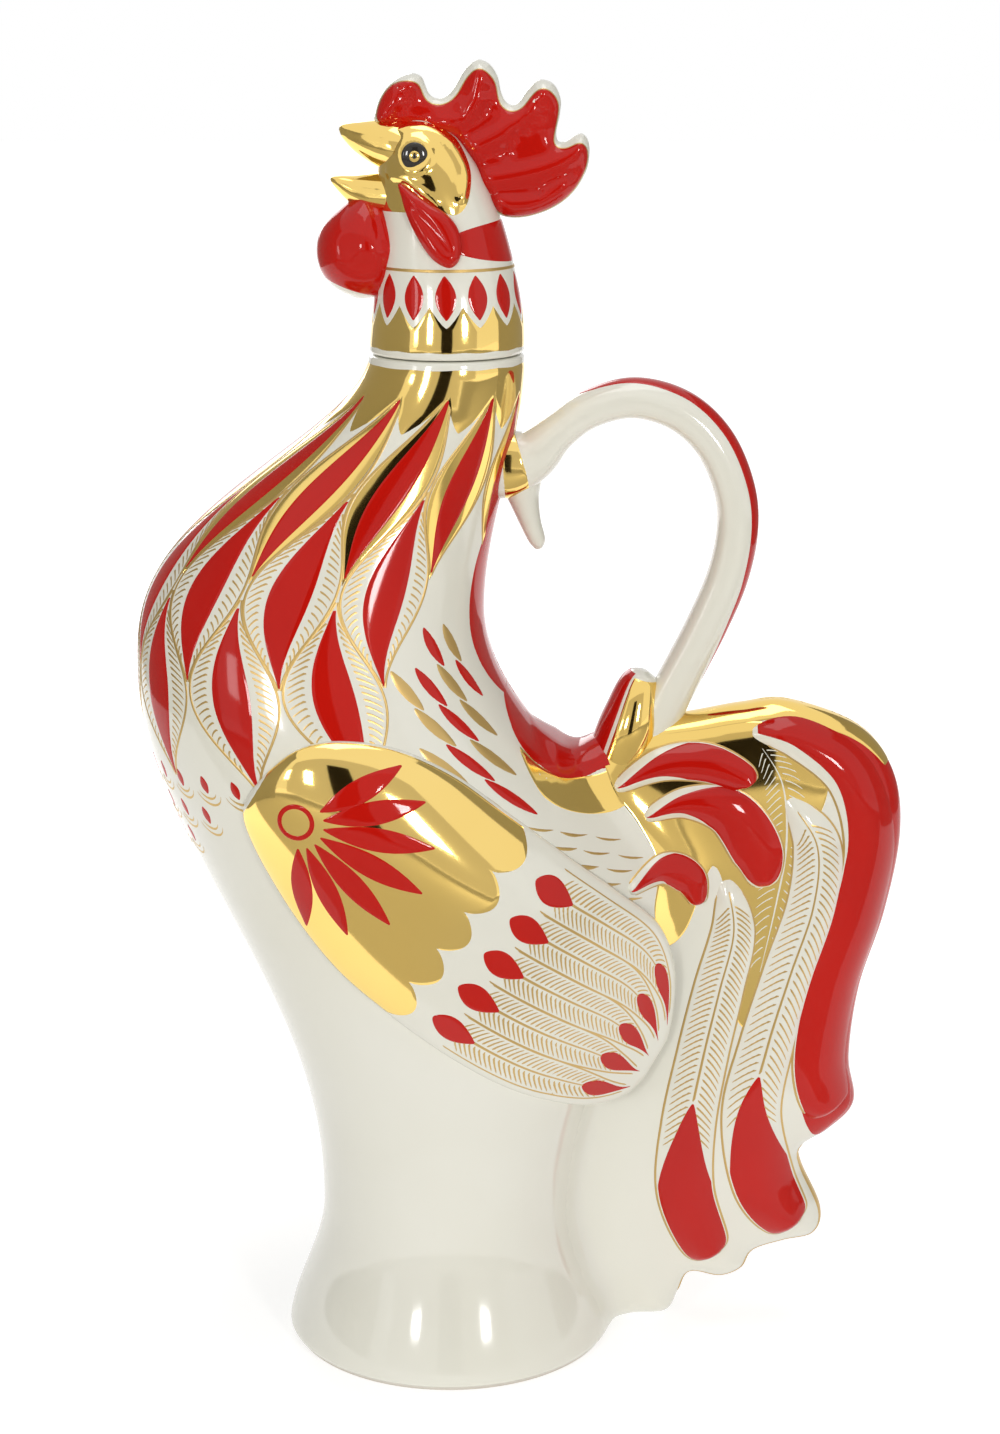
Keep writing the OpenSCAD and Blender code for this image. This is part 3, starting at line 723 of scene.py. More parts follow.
# %% Tail plumes
PLUME_RELIEF = 2.0
PLUMES = {
    "outer_sickle": [(0.53, 0.962, 2), (0.67, 0.953, 4.6), (0.83, 0.895, 5.8), (0.895, 0.79, 6.2),
                     (0.86, 0.67, 6.4), (0.79, 0.55, 6.6), (0.762, 0.445, 6.6), (0.785, 0.375, 6),
                     (0.805, 0.352, 3.2)],
    "inner_sickle": [(0.64, 0.865, 2.4), (0.73, 0.795, 5.6), (0.725, 0.7, 6.2), (0.66, 0.59, 6.4),
                     (0.595, 0.473, 6.6), (0.555, 0.36, 7.2), (0.598, 0.245, 7.8), (0.67, 0.178, 6.4),
                     (0.7, 0.158, 3)],
    "web_plume": [(0.46, 0.74, 2.4), (0.485, 0.66, 5.2), (0.445, 0.565, 6), (0.4, 0.46, 6.2),
                  (0.36, 0.34, 6.6), (0.355, 0.23, 7), (0.42, 0.135, 6), (0.447, 0.108, 2.8)],
    "top_curl": [(0.12, 0.88, 1.6), (0.26, 0.914, 3.8), (0.39, 0.918, 4.6), (0.5, 0.898, 3.8),
                 (0.53, 0.885, 1.8)],
    "middle_curl": [(0.21, 0.837, 1.6), (0.335, 0.858, 3.8), (0.47, 0.842, 6), (0.555, 0.78, 6.2),
                    (0.575, 0.725, 3)],
    "low_curl": [(0.16, 0.743, 1.6), (0.27, 0.763, 3.6), (0.35, 0.742, 4), (0.38, 0.7, 1.8)],
}


def plume_chart(stations, side, relief=PLUME_RELIEF, steps=16):
    """A chart of one plume: how far along it from 0 to 1, and how far across it from -1 to 1."""
    s = spline(stations, steps)
    at = np.linspace(0, 1, len(s))
    line = tail_at(s[:, :2])
    ahead = unit(np.gradient(line, axis=0))

    def chart(t, c):
        ends = clamp01(np.minimum(t, 1 - t) / 0.09)
        half = np.interp(t, at, s[:, 2]) * np.sqrt(np.maximum(1 - (1 - ends) ** 2, 0.02))
        x = np.interp(t, at, line[:, 0]) - np.interp(t, at, ahead[:, 1]) * half * c
        z = np.interp(t, at, line[:, 1]) + np.interp(t, at, ahead[:, 0]) * half * c
        swell = np.maximum(1 - c * c, 0) ** 1.2 * ease(ends) ** 0.7
        return points(x, side * (tail_skin(x, z) + relief * swell), z)

    return faced(chart, 0.5, 0, (0, side, 0))


for side, word in HANDS:
    plumes = Paint()
    for stations in PLUMES.values():
        t, c = field((0.002, 0.998), (-1, 1), 22 * len(stations), 23)
        plumes.patch(plume_chart(stations, side), t, c, 0.01, sink=0.15)
    plumes.make(f"{word}_plumes_cast", porcelain, stands_for=f"{word}_tail_plumes", slot="enamel_red")

# %% [markdown]
# ## Wings
# Each wing is a pad luted to the flank. It could be modelled flat and shrink-wrapped, but it also has to
# bridge the corner between body and tail. So it is a leaf-shaped field of points over both, raised by a
# rounded profile, with a fuller shoulder in front.

# %% Wing form
WING_X = -44.5
WING_Z = 134.0
WING_TILT = math.radians(-29.7)
WING_COS = math.cos(WING_TILT)
WING_SIN = math.sin(WING_TILT)
WING_LEN = 111.0
WING_W = 55.0
WING_FILLET = 36.0
WING_ROOT = 1.2
WING_RISE = 3.75
WING_OUTLINE = [(0, 0.12, -0.06), (0.012, 0.24, 0), (0.04, 0.37, 0.06), (0.1, 0.47, 0.15), (0.2, 0.54, 0.27),
                (0.32, 0.55, 0.37), (0.45, 0.51, 0.42), (0.6, 0.46, 0.46), (0.74, 0.41, 0.48),
                (0.85, 0.34, 0.475), (0.93, 0.2, 0.45), (0.98, 0.02, 0.38), (1, -0.1, 0.28)]
wing_shares, wing_up, wing_down = spline(WING_OUTLINE, 12).T


def wing_edges(u):
    """The lower and the upper edge at a share of the length, in shares of the breadth."""
    return -np.interp(u, wing_shares, wing_down), np.interp(u, wing_shares, wing_up)


def wing_bed(x, z):
    """What the wing lies on: flank and tail, melted together wide enough to bridge the corner."""
    return merged_y(x, z, WING_FILLET)


def wing_plan(x, z):
    """A point's place on the wing: share of its length and share across it."""
    dx, dz = np.asarray(x, float) - WING_X, np.asarray(z, float) - WING_Z
    u = (dx * WING_COS + dz * WING_SIN) / WING_LEN
    v = (-dx * WING_SIN + dz * WING_COS) / WING_W
    low, high = wing_edges(u)
    return u, (v - low) / np.maximum(high - low, 1e-6)


def wing_xz(u, a):
    """The point of the side view at a place on the wing."""
    low, high = wing_edges(u)
    run = np.asarray(u) * WING_LEN
    rise = mix(low, high, a) * WING_W
    return WING_X + run * WING_COS - rise * WING_SIN, WING_Z + run * WING_SIN + rise * WING_COS


def wing_rise(u, a):
    """Height of the wing over its bed, in shares of its length and breadth."""
    u = clamp01(u)
    swell = WING_RISE * mix(1.0, 0.7, u) * np.sqrt(np.maximum(0, 1 - (2 * u - 1) ** 6))
    rise = 0.15 + swell * np.sqrt(np.maximum(0, 1 - (2 * clamp01(a) - 1) ** 4))
    shoulder = 0.5 * bell((u - 0.12) / 0.12, (a - 0.5) / 0.34)
    quills = 0.45 * np.sin(clamp01(a) * 5 * PI) ** 2 * ease(clamp01((u - 0.62) / 0.3)) * (1 - u**8)
    return rise + shoulder - quills


def wing_y(x, z):
    return wing_bed(x, z) + wing_rise(*wing_plan(x, z))


def wing_chart(side):
    """A chart of a wing: share of its length, and share across it from its lower to its upper edge."""

    def chart(u, a):
        x, z = wing_xz(u, a)
        return points(x, side * (wing_bed(x, z) + wing_rise(u, a)), z)

    return faced(chart, 0.5, 0.5, (0, side, 0))


print("wing stands", round(float(wing_rise(0.5, 0.5)), 2), "mm over its bed")


# %% Wing meshes
lengthways = np.concatenate([[0, 0.003, 0.008, 0.016], np.linspace(0.028, 0.97, 110),
                             [0.984, 0.993, 0.998, 1.0]])
crossways = 0.5 - 0.5 * np.cos(np.linspace(0, PI, 73))
u, a = np.meshgrid(lengthways, crossways, indexing="ij")
x, z = wing_xz(u, a)
for side, word in HANDS:
    below = points(x, side * (wing_bed(x, z) - WING_ROOT), z)
    shape = skin(np.concatenate([wing_chart(side)(u, a), below[:, ::-1]], axis=1))
    piece(f"{word}_wing_cast", shape, porcelain, stands_for=f"{word}_wing", slot="porcelain")

# %% [markdown]
# ## Handle and scroll
# The handle is pulled from the neck in one loop and lands in a scroll of saddle feathers. Both are sweeps:
# a ring carried along a curve, with its width given at each station. A bevelled curve object would do, but
# the handle is flat inside, where the thumb pressed it.

# %% Handle and scroll
HANDLE_T = 4.8
HANDLE_W = 5.4
HANDLE_FLAT = 0.8
ROOT_H = NECK_H - 24.5
HANDLE_TOP = NECK_H - 5.2 - HANDLE_T
HANDLE_BACK = 68.2 - HANDLE_T
FOOT_X = 42.0
FOOT_Z = 136.0
HANDLE_OVER = [(NECK_R - 9, ROOT_H, 1.75, 1.22), (NECK_R - 2.8, ROOT_H + 0.4, 1.67, 1.19),
               (NECK_R + 2.4, mix(ROOT_H, HANDLE_TOP, 0.165), 1.25, 1.06),
               (mix(NECK_R, HANDLE_BACK, 0.16), mix(ROOT_H, HANDLE_TOP, 0.5), 0.94, 1),
               (mix(NECK_R, HANDLE_BACK, 0.305), mix(ROOT_H, HANDLE_TOP, 0.83), 0.9, 1),
               (mix(NECK_R, HANDLE_BACK, 0.51), HANDLE_TOP, 0.96, 1)]
HANDLE_DOWN = [(0.6, 0.034, 1, 1), (0.25, 0.118, 1, 1), (0.042, 0.24, 1, 1), (0, 0.354, 1, 1),
               (0.093, 0.482, 1, 1), (0.29, 0.61, 1, 1), (0.495, 0.72, 1, 1), (0.696, 0.826, 1.05, 1),
               (0.88, 0.922, 1.15, 1.05), (1, 1, 1.2, 1.1)]
handle_run = HANDLE_OVER + [(HANDLE_BACK - s * (HANDLE_BACK - FOOT_X), mix(HANDLE_TOP, FOOT_Z, f), t, w)
                            for s, f, t, w in HANDLE_DOWN]
handle_stations = [(x, 0, z, HANDLE_T * t, HANDLE_W * w) for x, z, t, w in handle_run]
piece("handle_loop", swept(handle_stations, 48, 14, HANDLE_FLAT), porcelain, stands_for="handle",
      slot="porcelain")
SPUR = [(-2.2, 2.5, 7, 5.6), (-0.8, -3.2, 4.8, 5), (0.1, -8, 3.3, 4.2), (1.4, -12.7, 2.4, 3.2),
        (2.8, -16.5, 1.9, 2.3), (3.2, -18.2, 1.1, 1.4), (3.3, -18.7, 0.4, 0.5)]
spur_stations = [(NECK_R + x, 0, ROOT_H + z, w, t) for x, z, w, t in SPUR]
piece("handle_spur", swept(spur_stations, 40, 12), porcelain, slot="porcelain")
SCROLL = [(-5, -2, 7, 7.5), (-1.8, 8, 6.8, 8.6), (-0.3, 14.6, 5.5, 7.4), (0.7, 18.6, 4.4, 5.6),
          (1.2, 20.5, 3.1, 4), (1.5, 21.4, 1.2, 1.6)]
scroll_stations = [(FOOT_X + x, 0, FOOT_Z + z, w, t) for x, z, w, t in SCROLL]
piece("saddle_scroll", swept(scroll_stations, 48, 14), porcelain, stands_for="back_scroll",
      slot="gold_lustre")

# %% [markdown]
# ## Head
# The head is lofted over oval rings like the bottle, and it rides on a body of its own because it is the
# stopper. Its comb is a plate with folds and the dents of the maker's fingers, its beaks and wattle are
# sweeps, the ear lobes are cushions laid on the cheeks, and the eyes are small domes. Sculpting could give
# such soft forms too, but here every size stays in a list and both sides come out alike.

# %% Head loft
CROWN = 50.0
HEAD_SIDES = 120
HEAD_SECTIONS = [(0, 16.8, 16.8, 16.8), (0.16, 16, 16.5, 16.2), (0.32, 15.3, 15.2, 15),
                 (0.48, 14.8, 13.2, 13.2), (0.6, 14.6, 11.3, 12), (0.72, 14.6, 8.8, 11.2),
                 (0.82, 14.2, 6.2, 10), (0.9, 13, 3.4, 8.2), (0.96, 10.6, 0, 5.4), (1, 7.4, -4.2, 1.4)]
HEAD_RIM = [(231, 13.6), (231, 14.3), (228.3, 14.3), (228.25, 14.6), (228.25, 16.0), (228.4, 16.45),
            (228.8, 16.68)]
head_shares, *head_reaches = spline(HEAD_SECTIONS, 12).T


def head_section(z):
    share = clamp01((np.asarray(z, float) - NECK_H) / CROWN)
    f, b, w = (np.interp(share, head_shares, reach) for reach in head_reaches)
    return (b - f) / 2, (b + f) / 2, w


def head_y(x, z):
    return half_width(head_section, x, z)


rings = round_rings(HEAD_RIM, HEAD_SIDES)
for z in np.linspace(229.2, 277.95, 90):
    cx, half_len, half_w = head_section(z)
    rings.append(oval(cx, z, half_len, half_w, HEAD_SIDES))
piece("head_cast", skin(rings), porcelain, "head", stands_for="head_shell", slot="porcelain")

# %% Comb
COMB_HALF = 4.3
COMB_ROUND = 3.8
FOLD_R = 2.3
COMB_CLOSES = [0.05, 0.18, 0.4, 0.75, 1.2, 1.7]
DENT_R = 1.3
DENT_DEPTH = 0.65
COMB = [(-15, 276.8), (-15, 279), (-14, 282), (-12.2, 284.6), (-9.6, 286.4), (-7, 287.1), (-5.1, 286.4),
        (-4.3, 284.7), (-3.5, 282.9), (-1.9, 281.9), (0.2, 282.5), (2, 284.5), (3.6, 287.3), (5.5, 289.4),
        (7.3, 289.9), (9.4, 288.9), (11, 286.5), (11.7, 283.4), (12.6, 281.4), (14, 280.5), (15.6, 281.4),
        (17.2, 283.6), (19.1, 285.5), (21.2, 285.7), (23.2, 284.5), (24.4, 281.6), (24.2, 278.4),
        (23.5, 274.9), (23.9, 273), (25.5, 273.1), (27.4, 274.3), (29.2, 274.5), (30.4, 272.8), (30.6, 270),
        (29.9, 266.7), (27.6, 262.7), (23.9, 259.5), (18.9, 257.4), (14.2, 256.8), (11, 257.8), (8.7, 260.4),
        (6.9, 264), (5.5, 268), (3.2, 271.7), (0.4, 273.9), (-3.3, 275.2), (-8.8, 275.8), (-12.5, 276.1)]
COMB_RIDGES = [[(-13, 278.5), (-10.5, 281.8), (-8, 285)],
               [(-1.5, 275.8), (4, 278.6), (6.8, 282.6), (7.3, 287.5)],
               [(5, 271.5), (11.5, 274.5), (17.5, 278.8), (20.8, 283.5)],
               [(8.5, 265), (16.5, 266.3), (23.5, 268.4), (28.6, 272)], [(11.5, 260), (18, 260), (25, 263.5)]]
COMB_DENTS = [(-12.6, 281.2), (-9.4, 283), (-10.4, 279), (2.8, 279), (8.8, 283.4), (9.6, 280.2),
              (15.2, 274.8), (17.8, 277.4), (20, 280.4), (12.8, 270.8), (27.4, 266.8), (19.6, 262.6)]
comb_edge = closed_line(COMB, 8, 0.45)
comb_ridges = [spline(ridge, 8) for ridge in COMB_RIDGES]


def comb_y(x, z):
    """Half the comb's thickness: a round edge, a soft fold up into each point, and finger dents."""
    q = points(np.ravel(x), np.ravel(z))
    edge = clamp01(to_line(q, comb_edge) / COMB_ROUND)
    fold = np.max([bell(to_line(q, ridge, closed=False) / FOLD_R) for ridge in comb_ridges], axis=0)
    dent = sum(bell(*((q - place) / DENT_R).T) for place in np.array(COMB_DENTS))
    half = COMB_HALF * np.sqrt(1 - (1 - edge) ** 2.4) * (0.66 + 0.34 * fold) - DENT_DEPTH * dent * edge
    return half.reshape(np.shape(x))


plate("comb_cast", comb_edge, comb_y, porcelain, 0.7, COMB_CLOSES, body="head", stands_for="comb",
      slot="enamel_red")

# %% Beaks and wattle
BEAKS = {
    "upper_beak": [(-7, 42.8, 6, 8.2), (-11, 44.1, 5.8, 7.2), (-14.5, 44.9, 4.8, 5.6), (-18, 45.9, 3.5, 3.8),
                   (-20.6, 46.9, 2.1, 2.2), (-22, 47.5, 1.1, 1.2), (-22.6, 47.7, 0.35, 0.4)],
    "lower_beak": [(-7, 33.2, 4.9, 7.9), (-11.5, 33.6, 5, 6.9), (-15.5, 34, 4.5, 5.2), (-19.5, 35, 3.1, 3.2),
                   (-22.6, 36.3, 1.6, 1.7), (-24, 36.9, 0.8, 0.9), (-24.6, 37.1, 0.25, 0.3)],
}
for name, path in BEAKS.items():
    shape = swept([(x, 0, NECK_H + h, half_h, half_w) for x, h, half_h, half_w in path], 48, 12)
    piece(f"{name}_gilt", shape, gold, "head", stands_for=name, slot="gold_lustre")

WATTLE_R = 10.3
WATTLE_Z = 250.0
WATTLE = [(-15.6, 1.15, 0.24, 0.3), (-16.4, 0.72, 0.66, 0.72), (-17.4, 0.2, 0.96, 0.98),
          (-18, -0.35, 0.92, 0.93), (-18.4, -0.78, 0.6, 0.62), (-18.6, -0.97, 0.2, 0.22)]
wattle_round = sweep_chart([(x, 0, WATTLE_Z + f * WATTLE_R, w * WATTLE_R, t * WATTLE_R)
                            for x, f, w, t in WATTLE])


def wattle_chart(t, a):
    """The wattle with two soft dents and a crease on each side."""
    x, y, z = np.moveaxis(wattle_round(t, a), -1, 0)
    dents = 0.7 * bell((x + 20.5) / 2.6, (z - 252.0) / 3.6) + 0.6 * bell((x + 17.0) / 3.2, (z - 248.0) / 2.4)
    crease = 0.45 * bell(x + 13.6 + 0.25 * (z - 252))
    return points(x, y - np.sign(y) * np.minimum(dents + crease, np.abs(y) * 0.6), z)


faced(wattle_chart, 3.0, PI / 2, (0, 1, 0))
piece("wattle_cast", skin(wattle_chart(np.linspace(0, 5, 70)[:, None], around(72))), porcelain, "head",
      stands_for="wattle", slot="enamel_red")

# %% Ear lobes and eyes
EAR_LOBE = [(-9.6, 265), (-6.6, 263.2), (-3.3, 260.9), (0.2, 258.7), (2.6, 255.6), (3.4, 251.8), (2.8, 248.8),
            (0.7, 247.5), (-2.6, 249.2), (-5.2, 252.6), (-7.5, 257), (-9, 261.6)]
EAR_FOLD = [(-8.4, 262), (-5, 258.2), (-2.2, 254.6), (0.4, 250.6)]
lobe_edge = closed_line(EAR_LOBE, 10, 0.5)
lobe_fold = spline(EAR_FOLD, 8)
EYE_X = -6.4
EYE_Z = 270.4
EYE_R = 2.8
IRIS_R = 1.2
PUPIL_R = 0.5
LOBE_RISE = 2.2


def lobe_lift(q, depth):
    """A cushion with a fold down its length."""
    cushion = np.sqrt(1 - (1 - clamp01(depth / 2.6)) ** 2)
    return LOBE_RISE * cushion * (1 - 0.22 * bell(to_line(q, lobe_fold, closed=False) / 0.9))


def dome(side, radius, height, lift):
    """A shallow dome on the cheek over the middle of the eye."""
    y = head_y(EYE_X, EYE_Z) + lift
    turn = around(48)
    rows = [(radius * 0.98, -1.0), (radius, 0.0)]
    rows += [(radius * math.cos(a), height * math.sin(a)) for a in np.linspace(0.12, 1.5, 14)]
    return skin([points(EYE_X + r * np.cos(turn), side * (y + h), EYE_Z + 1.04 * r * np.sin(turn))
                 for r, h in rows])


for side, word in HANDS:
    lobe = Paint()
    lobe.fill(side_chart(head_y, side, -3, 256), lobe_edge, lobe_lift, 0.6, sink=0.4)
    lobe.make(f"{word}_ear_lobe_red", red, "head", stands_for=f"{word}_ear_lobe", slot="enamel_red")
    piece(f"{word}_eye_bead", dome(side, EYE_R, 0.75, 0.75), black, "head", stands_for=f"{word}_eye",
          slot="eye_black")
    piece(f"{word}_eye_iris", dome(side, IRIS_R, 0.4, 1.28), gold, "head")
    piece(f"{word}_eye_pupil", dome(side, PUPIL_R, 0.2, 1.6), black, "head")

# %% [markdown]
# ## Stopper
# Under the head hangs the plug, a turned cup with a groove, and in the groove sits the sealing ring. Both are
# round, so a profile is turned as on a lathe. The screw modifier could turn it too, but here the mesh closes
# on itself at once. They show when the head is lifted, so their edges are rounded as a potter's are.

# %% Stopper
PLUG_R = 11.9
PLUG = [(1.2, -14), (11.1, -14), (11.6, -13.8), (PLUG_R, -13.3), (PLUG_R, -9.3), (11.6, -9.02), (10.5, -9),
        (10.5, -5), (11.6, -4.98), (PLUG_R, -4.7), (PLUG_R, -0.3), (12.2, 0.02), (13.6, 0.02), (14, 0.4),
        (14, 2.6), (13.6, 3), (9, 3), (8.7, 2.7), (8.7, -10.6), (8.2, -11), (1.2, -11)]
SEAL = [(10.55, -8.9), (12.0, -8.9), (12.3, -8.6), (12.45, -8.0), (12.3, -7.4), (12.2, -7.0), (12.3, -6.6),
        (12.45, -6.0), (12.3, -5.4), (12.0, -5.1), (10.55, -5.1)]
piece("stopper_plug_turned", lathe(PLUG, NECK_H), porcelain, "head", stands_for="stopper_plug",
      slot="porcelain")
piece("stopper_seal_ring", lathe(SEAL, NECK_H), silicone, "seal", stands_for="stopper_seal", slot="silicone")

# %% [markdown]
# ## Hackle
# The neck feathers are brush work over the glaze. A lattice of pointed leaves covers the neck and the breast:
# each leaf fits in the gap between two leaves of the row above, so the rows need the same number of leaves.
# A leaf gets a red core, a gold outline and gold barbs, and the top row stands on solid gold. Copies of one
# leaf could be set round a true circle, but this neck is oval and swells, so each is drawn on its own chart.

# %% Hackle feathers
WRAP = 40.0
HACKLE_COUNT = 11
HACKLE_REACH = 22.0
HACKLE_TIERS = [(203.0, 181, 0.56), (181.0, 138, 0.5), (159.0, 104, 0.44)]
body_wrap = wrap_chart(body_section, WRAP, 100)


def lens_chart(angle, half_angle, z_high, z_low):
    """A chart of one pointed leaf on the body: down it from 0 to 1, and across it from -1 to 1."""

    def chart(t, c):
        wide = np.sin(PI * clamp01(t)) ** 1.9
        return body_wrap(WRAP * (angle + half_angle * wide * c), mix(z_high, z_low, t))

    return faced(chart, 0.5, 0, (-math.cos(angle), math.sin(angle), 0))


hackle_red, hackle_ground, hackle_lines = Paint(), Paint(), Paint()
for tier, (middle, spread, core) in enumerate(HACKLE_TIERS):
    for j in range(HACKLE_COUNT):
        angle = (j + 0.5 * (tier % 2)) * 2 * PI / HACKLE_COUNT
        angle = (angle + PI) % (2 * PI) - PI
        if abs(angle) > math.radians(spread):
            continue
        leaf = lens_chart(angle, 0.96 * PI / HACKLE_COUNT, middle + HACKLE_REACH, middle - HACKLE_REACH)
        hackle_red.patch(leaf, *field((0.08, 0.95), (-core, core), 56, 13), RED_LIFT)
        if tier == 0:
            hackle_ground.patch(leaf, *field((0.02, 0.98), (-0.98, 0.98), 60, 21), 0.05)
        else:
            herringbone(hackle_lines, leaf, 0.14, 0.82, 22, core + 0.08, 0.95, 0.05, 0.46)
        edge_lines(hackle_lines, leaf, (0.04, 0.96, 50), 0.99, 0.36, LINE_LIFT, 4)
hackle_red.make("hackle_red_cores", red)
hackle_ground.make("hackle_gold_ground", gold)
hackle_lines.make("hackle_gold_lines", brushed_gold)

# %% Collar of the neck


def teeth(turn, count):
    """A saw line that goes from 0 to 1 and back that many times in a turn."""
    return np.abs((turn * count / PI) % 2 - 1)


collar = Paint()
turn = around(352, -PI)
rows = np.linspace(0, 1, 9)[:, None]
hem = 212.5 + 7.0 * teeth(turn, HACKLE_COUNT) ** 1.2
collar.patch(body_wrap, WRAP * turn, mix(hem, 226.6, rows), 0.14, wrap=True)
collar.make("neck_collar_gold", gold)

# %% [markdown]
# ## Breast and rump
# Under the hackle the breast has rows of little scales that thin out downwards, and the rump has darts that
# follow the feathers towards the tail. They could be scattered, but a painter sets them in rows with one
# touch of the brush each, so both are rows of one stroke.

# %% Scales and darts
SCALE_PITCH = 8.0
SCALE_ROWS = (138.0, 130.5, 123.5)
DART_ROWS = ((168.0, 128), (160.0, 121), (152.0, 119), (144.0, 113), (136.0, 108))
scales, dots, darts_red, darts_gold = Paint(), Paint(), Paint(), Paint()
bow = np.linspace(-1, 1, 17)
for row, z in enumerate(SCALE_ROWS):
    for j in range(-5, 6):
        u = (j + 0.5 * (row % 2)) * SCALE_PITCH
        if abs(u) > 40 - 9 * row:
            continue
        for deep, wide in ((3.6, 3.5), (2.2, 2.4)):
            line = points(u + wide * bow, z - deep * np.sqrt(1 - 0.95 * bow**2))
            scales.ribbon(body_wrap, line, leaf_widths(17, 0.5, 0.12), 0.06, cells=2)
        dots.ribbon(body_wrap, points(u, z + 0.8 + 2.0 * bow), leaf_widths(17, 1.3), LINE_LIFT)
share = np.linspace(-1, 1, 13)
for side in (LEFT, RIGHT):
    for row, (z, first) in enumerate(DART_ROWS):
        for j in range(6):
            degrees = 108 + 9.0 * j + 4.5 * (row % 2)
            if not first <= degrees <= 152 - 3 * row:
                continue
            line = points(side * WRAP * (math.radians(degrees) + 0.07 * share), z - 4.6 * share)
            paint = darts_red if (row + j) % 2 else darts_gold
            paint.ribbon(body_wrap, line, leaf_widths(13, 1.7), 0.07)
scales.make("breast_scales_gold", brushed_gold)
dots.make("breast_dots_red", red)
darts_red.make("rump_darts_red", red)
darts_gold.make("rump_darts_gold", brushed_gold)

# %% [markdown]
# ## Wing paint
# The shoulder of the wing is gilded and carries a fan of red leaves. Behind its scalloped edge come the long
# quills, each a lane of gold barbs with a red drop at its root and a red point at its tip. The wing's own
# chart is used, so all of it follows the wing's outline.

# %% Wing paint
SHOULDER_END = 0.44
LANES = 5


def lane_chart(wing, side, mid):
    """A chart of one quill's lane on a wing: along it from 0 to 1, and across it from -1 to 1."""
    begin = SHOULDER_END + 0.075 + 0.05 * mid

    def chart(t, c):
        return wing(mix(begin, 0.985, t), mix(0.04, 0.96, mid) + 0.094 * c * (1 - 0.8 * clamp01(t) ** 7))

    return faced(chart, 0.5, 0, (0, side, 0))


shoulder, fan, wing_lines, wing_red = Paint(), Paint(), Paint(), Paint()
hub = np.array(wing_xz(0.1, 0.44))
for side in (LEFT, RIGHT):
    wing = wing_chart(side)
    a = np.linspace(0.0, 1.0, 121)
    rear = SHOULDER_END + 0.045 * np.abs(np.sin(a * LANES * PI)) ** 0.7 + 0.05 * a
    share = np.linspace(0.0, 1.0, 60)[:, None]
    shoulder.patch(wing, 0.002 + share * (rear - 0.002), a, 0.07, sink=0.2)
    flat = side_chart(wing_y, side, 0, 110)
    for j in range(7):
        bend = math.radians(-57 + 19 * j)
        run = np.linspace(5.6, 27.0 + 4.0 * math.cos(2 * bend), 36)[:, None]
        line = hub + run * np.array([math.cos(WING_TILT + bend), math.sin(WING_TILT + bend)])
        fan.ribbon(flat, line, leaf_widths(36, 3.1, 0.1, 0.9), 0.16, cells=8)
    turn = np.linspace(-PI, PI + 0.2, 60)
    fan.ribbon(flat, hub + 3.5 * points(np.cos(turn), np.sin(turn)), 0.7, 0.16, cells=5)
    for j in range(LANES):
        lane = lane_chart(wing, side, (j + 0.5) / LANES)
        herringbone(wing_lines, lane, 0.12, 0.8, 28, 0.07, 0.93, 0.06, 0.5)
        wing_lines.ribbon(lane, along(0.2, 0.8, 40), np.linspace(0.5, 0.25, 40), LINE_LIFT, cells=2)
        edge_lines(wing_lines, lane, (0.1, 0.97, 50), 1.0, 0.3, LINE_LIFT, 2)
        share, c = field((0, 1), (-1, 1), 36, 13)
        wide = np.maximum(np.sin(PI * share**0.8) ** 0.9, 0.02)
        wing_red.patch(lane, mix(0.0, 0.22, share), 0.62 * c * wide, RED_LIFT)
        wing_red.patch(lane, mix(0.76, 0.99, share), 0.8 * c * wide, RED_LIFT)
shoulder.make("shoulder_gold", gold)
fan.make("shoulder_fan_red", red)
wing_lines.make("wing_gold_barbs", brushed_gold)
wing_red.make("wing_red_points", red)

# %% [markdown]
# ## Tail paint
# The sickle plume and the three curls are red. The two long plumes are white with gold barbs and red ends,
# the ground between the curls is gold with a white plume drawn on it, and gold runs along the tail's top
# edge. A red stripe comes down the nape and widens to a crescent on the saddle. Bands that go round an edge
# to both sides need a chart of that edge, because no side view shows it whole.

# %% Edges of tail and back
TAIL_GROUND = [(0.09, 0.945), (0.2, 0.955), (0.4, 0.969), (0.55, 0.977), (0.68, 0.957), (0.76, 0.9),
               (0.74, 0.84), (0.67, 0.8), (0.66, 0.7), (0.6, 0.6), (0.53, 0.5), (0.46, 0.58), (0.47, 0.68),
               (0.42, 0.76), (0.34, 0.66), (0.27, 0.64), (0.24, 0.7), (0.25, 0.77), (0.19, 0.83),
               (0.11, 0.885)]
SADDLE_GOLD = [(15.5, 144.5), (20, 140), (26, 136.6), (33, 136), (40, 138), (43.5, 133), (37, 128.5),
               (28, 130), (20.5, 135)]
SICKLE_END = [(0.69, 0.43), (0.77, 0.46), (0.85, 0.43), (0.87, 0.365), (0.81, 0.324), (0.768, 0.308),
              (0.735, 0.328), (0.707, 0.37)]
PAINTED_PLUME = [(0.555, 0.945, 2.6), (0.625, 0.885, 4.6), (0.64, 0.79, 5.4), (0.61, 0.69, 5),
                 (0.565, 0.58, 3)]
RED_SPANS = {"outer_sickle": (0.02, 0.9985), "top_curl": (0.02, 0.97), "middle_curl": (0.02, 0.975),
             "low_curl": (0.03, 0.97), "inner_sickle": (0.55, 0.97), "web_plume": (0.52, 0.965)}


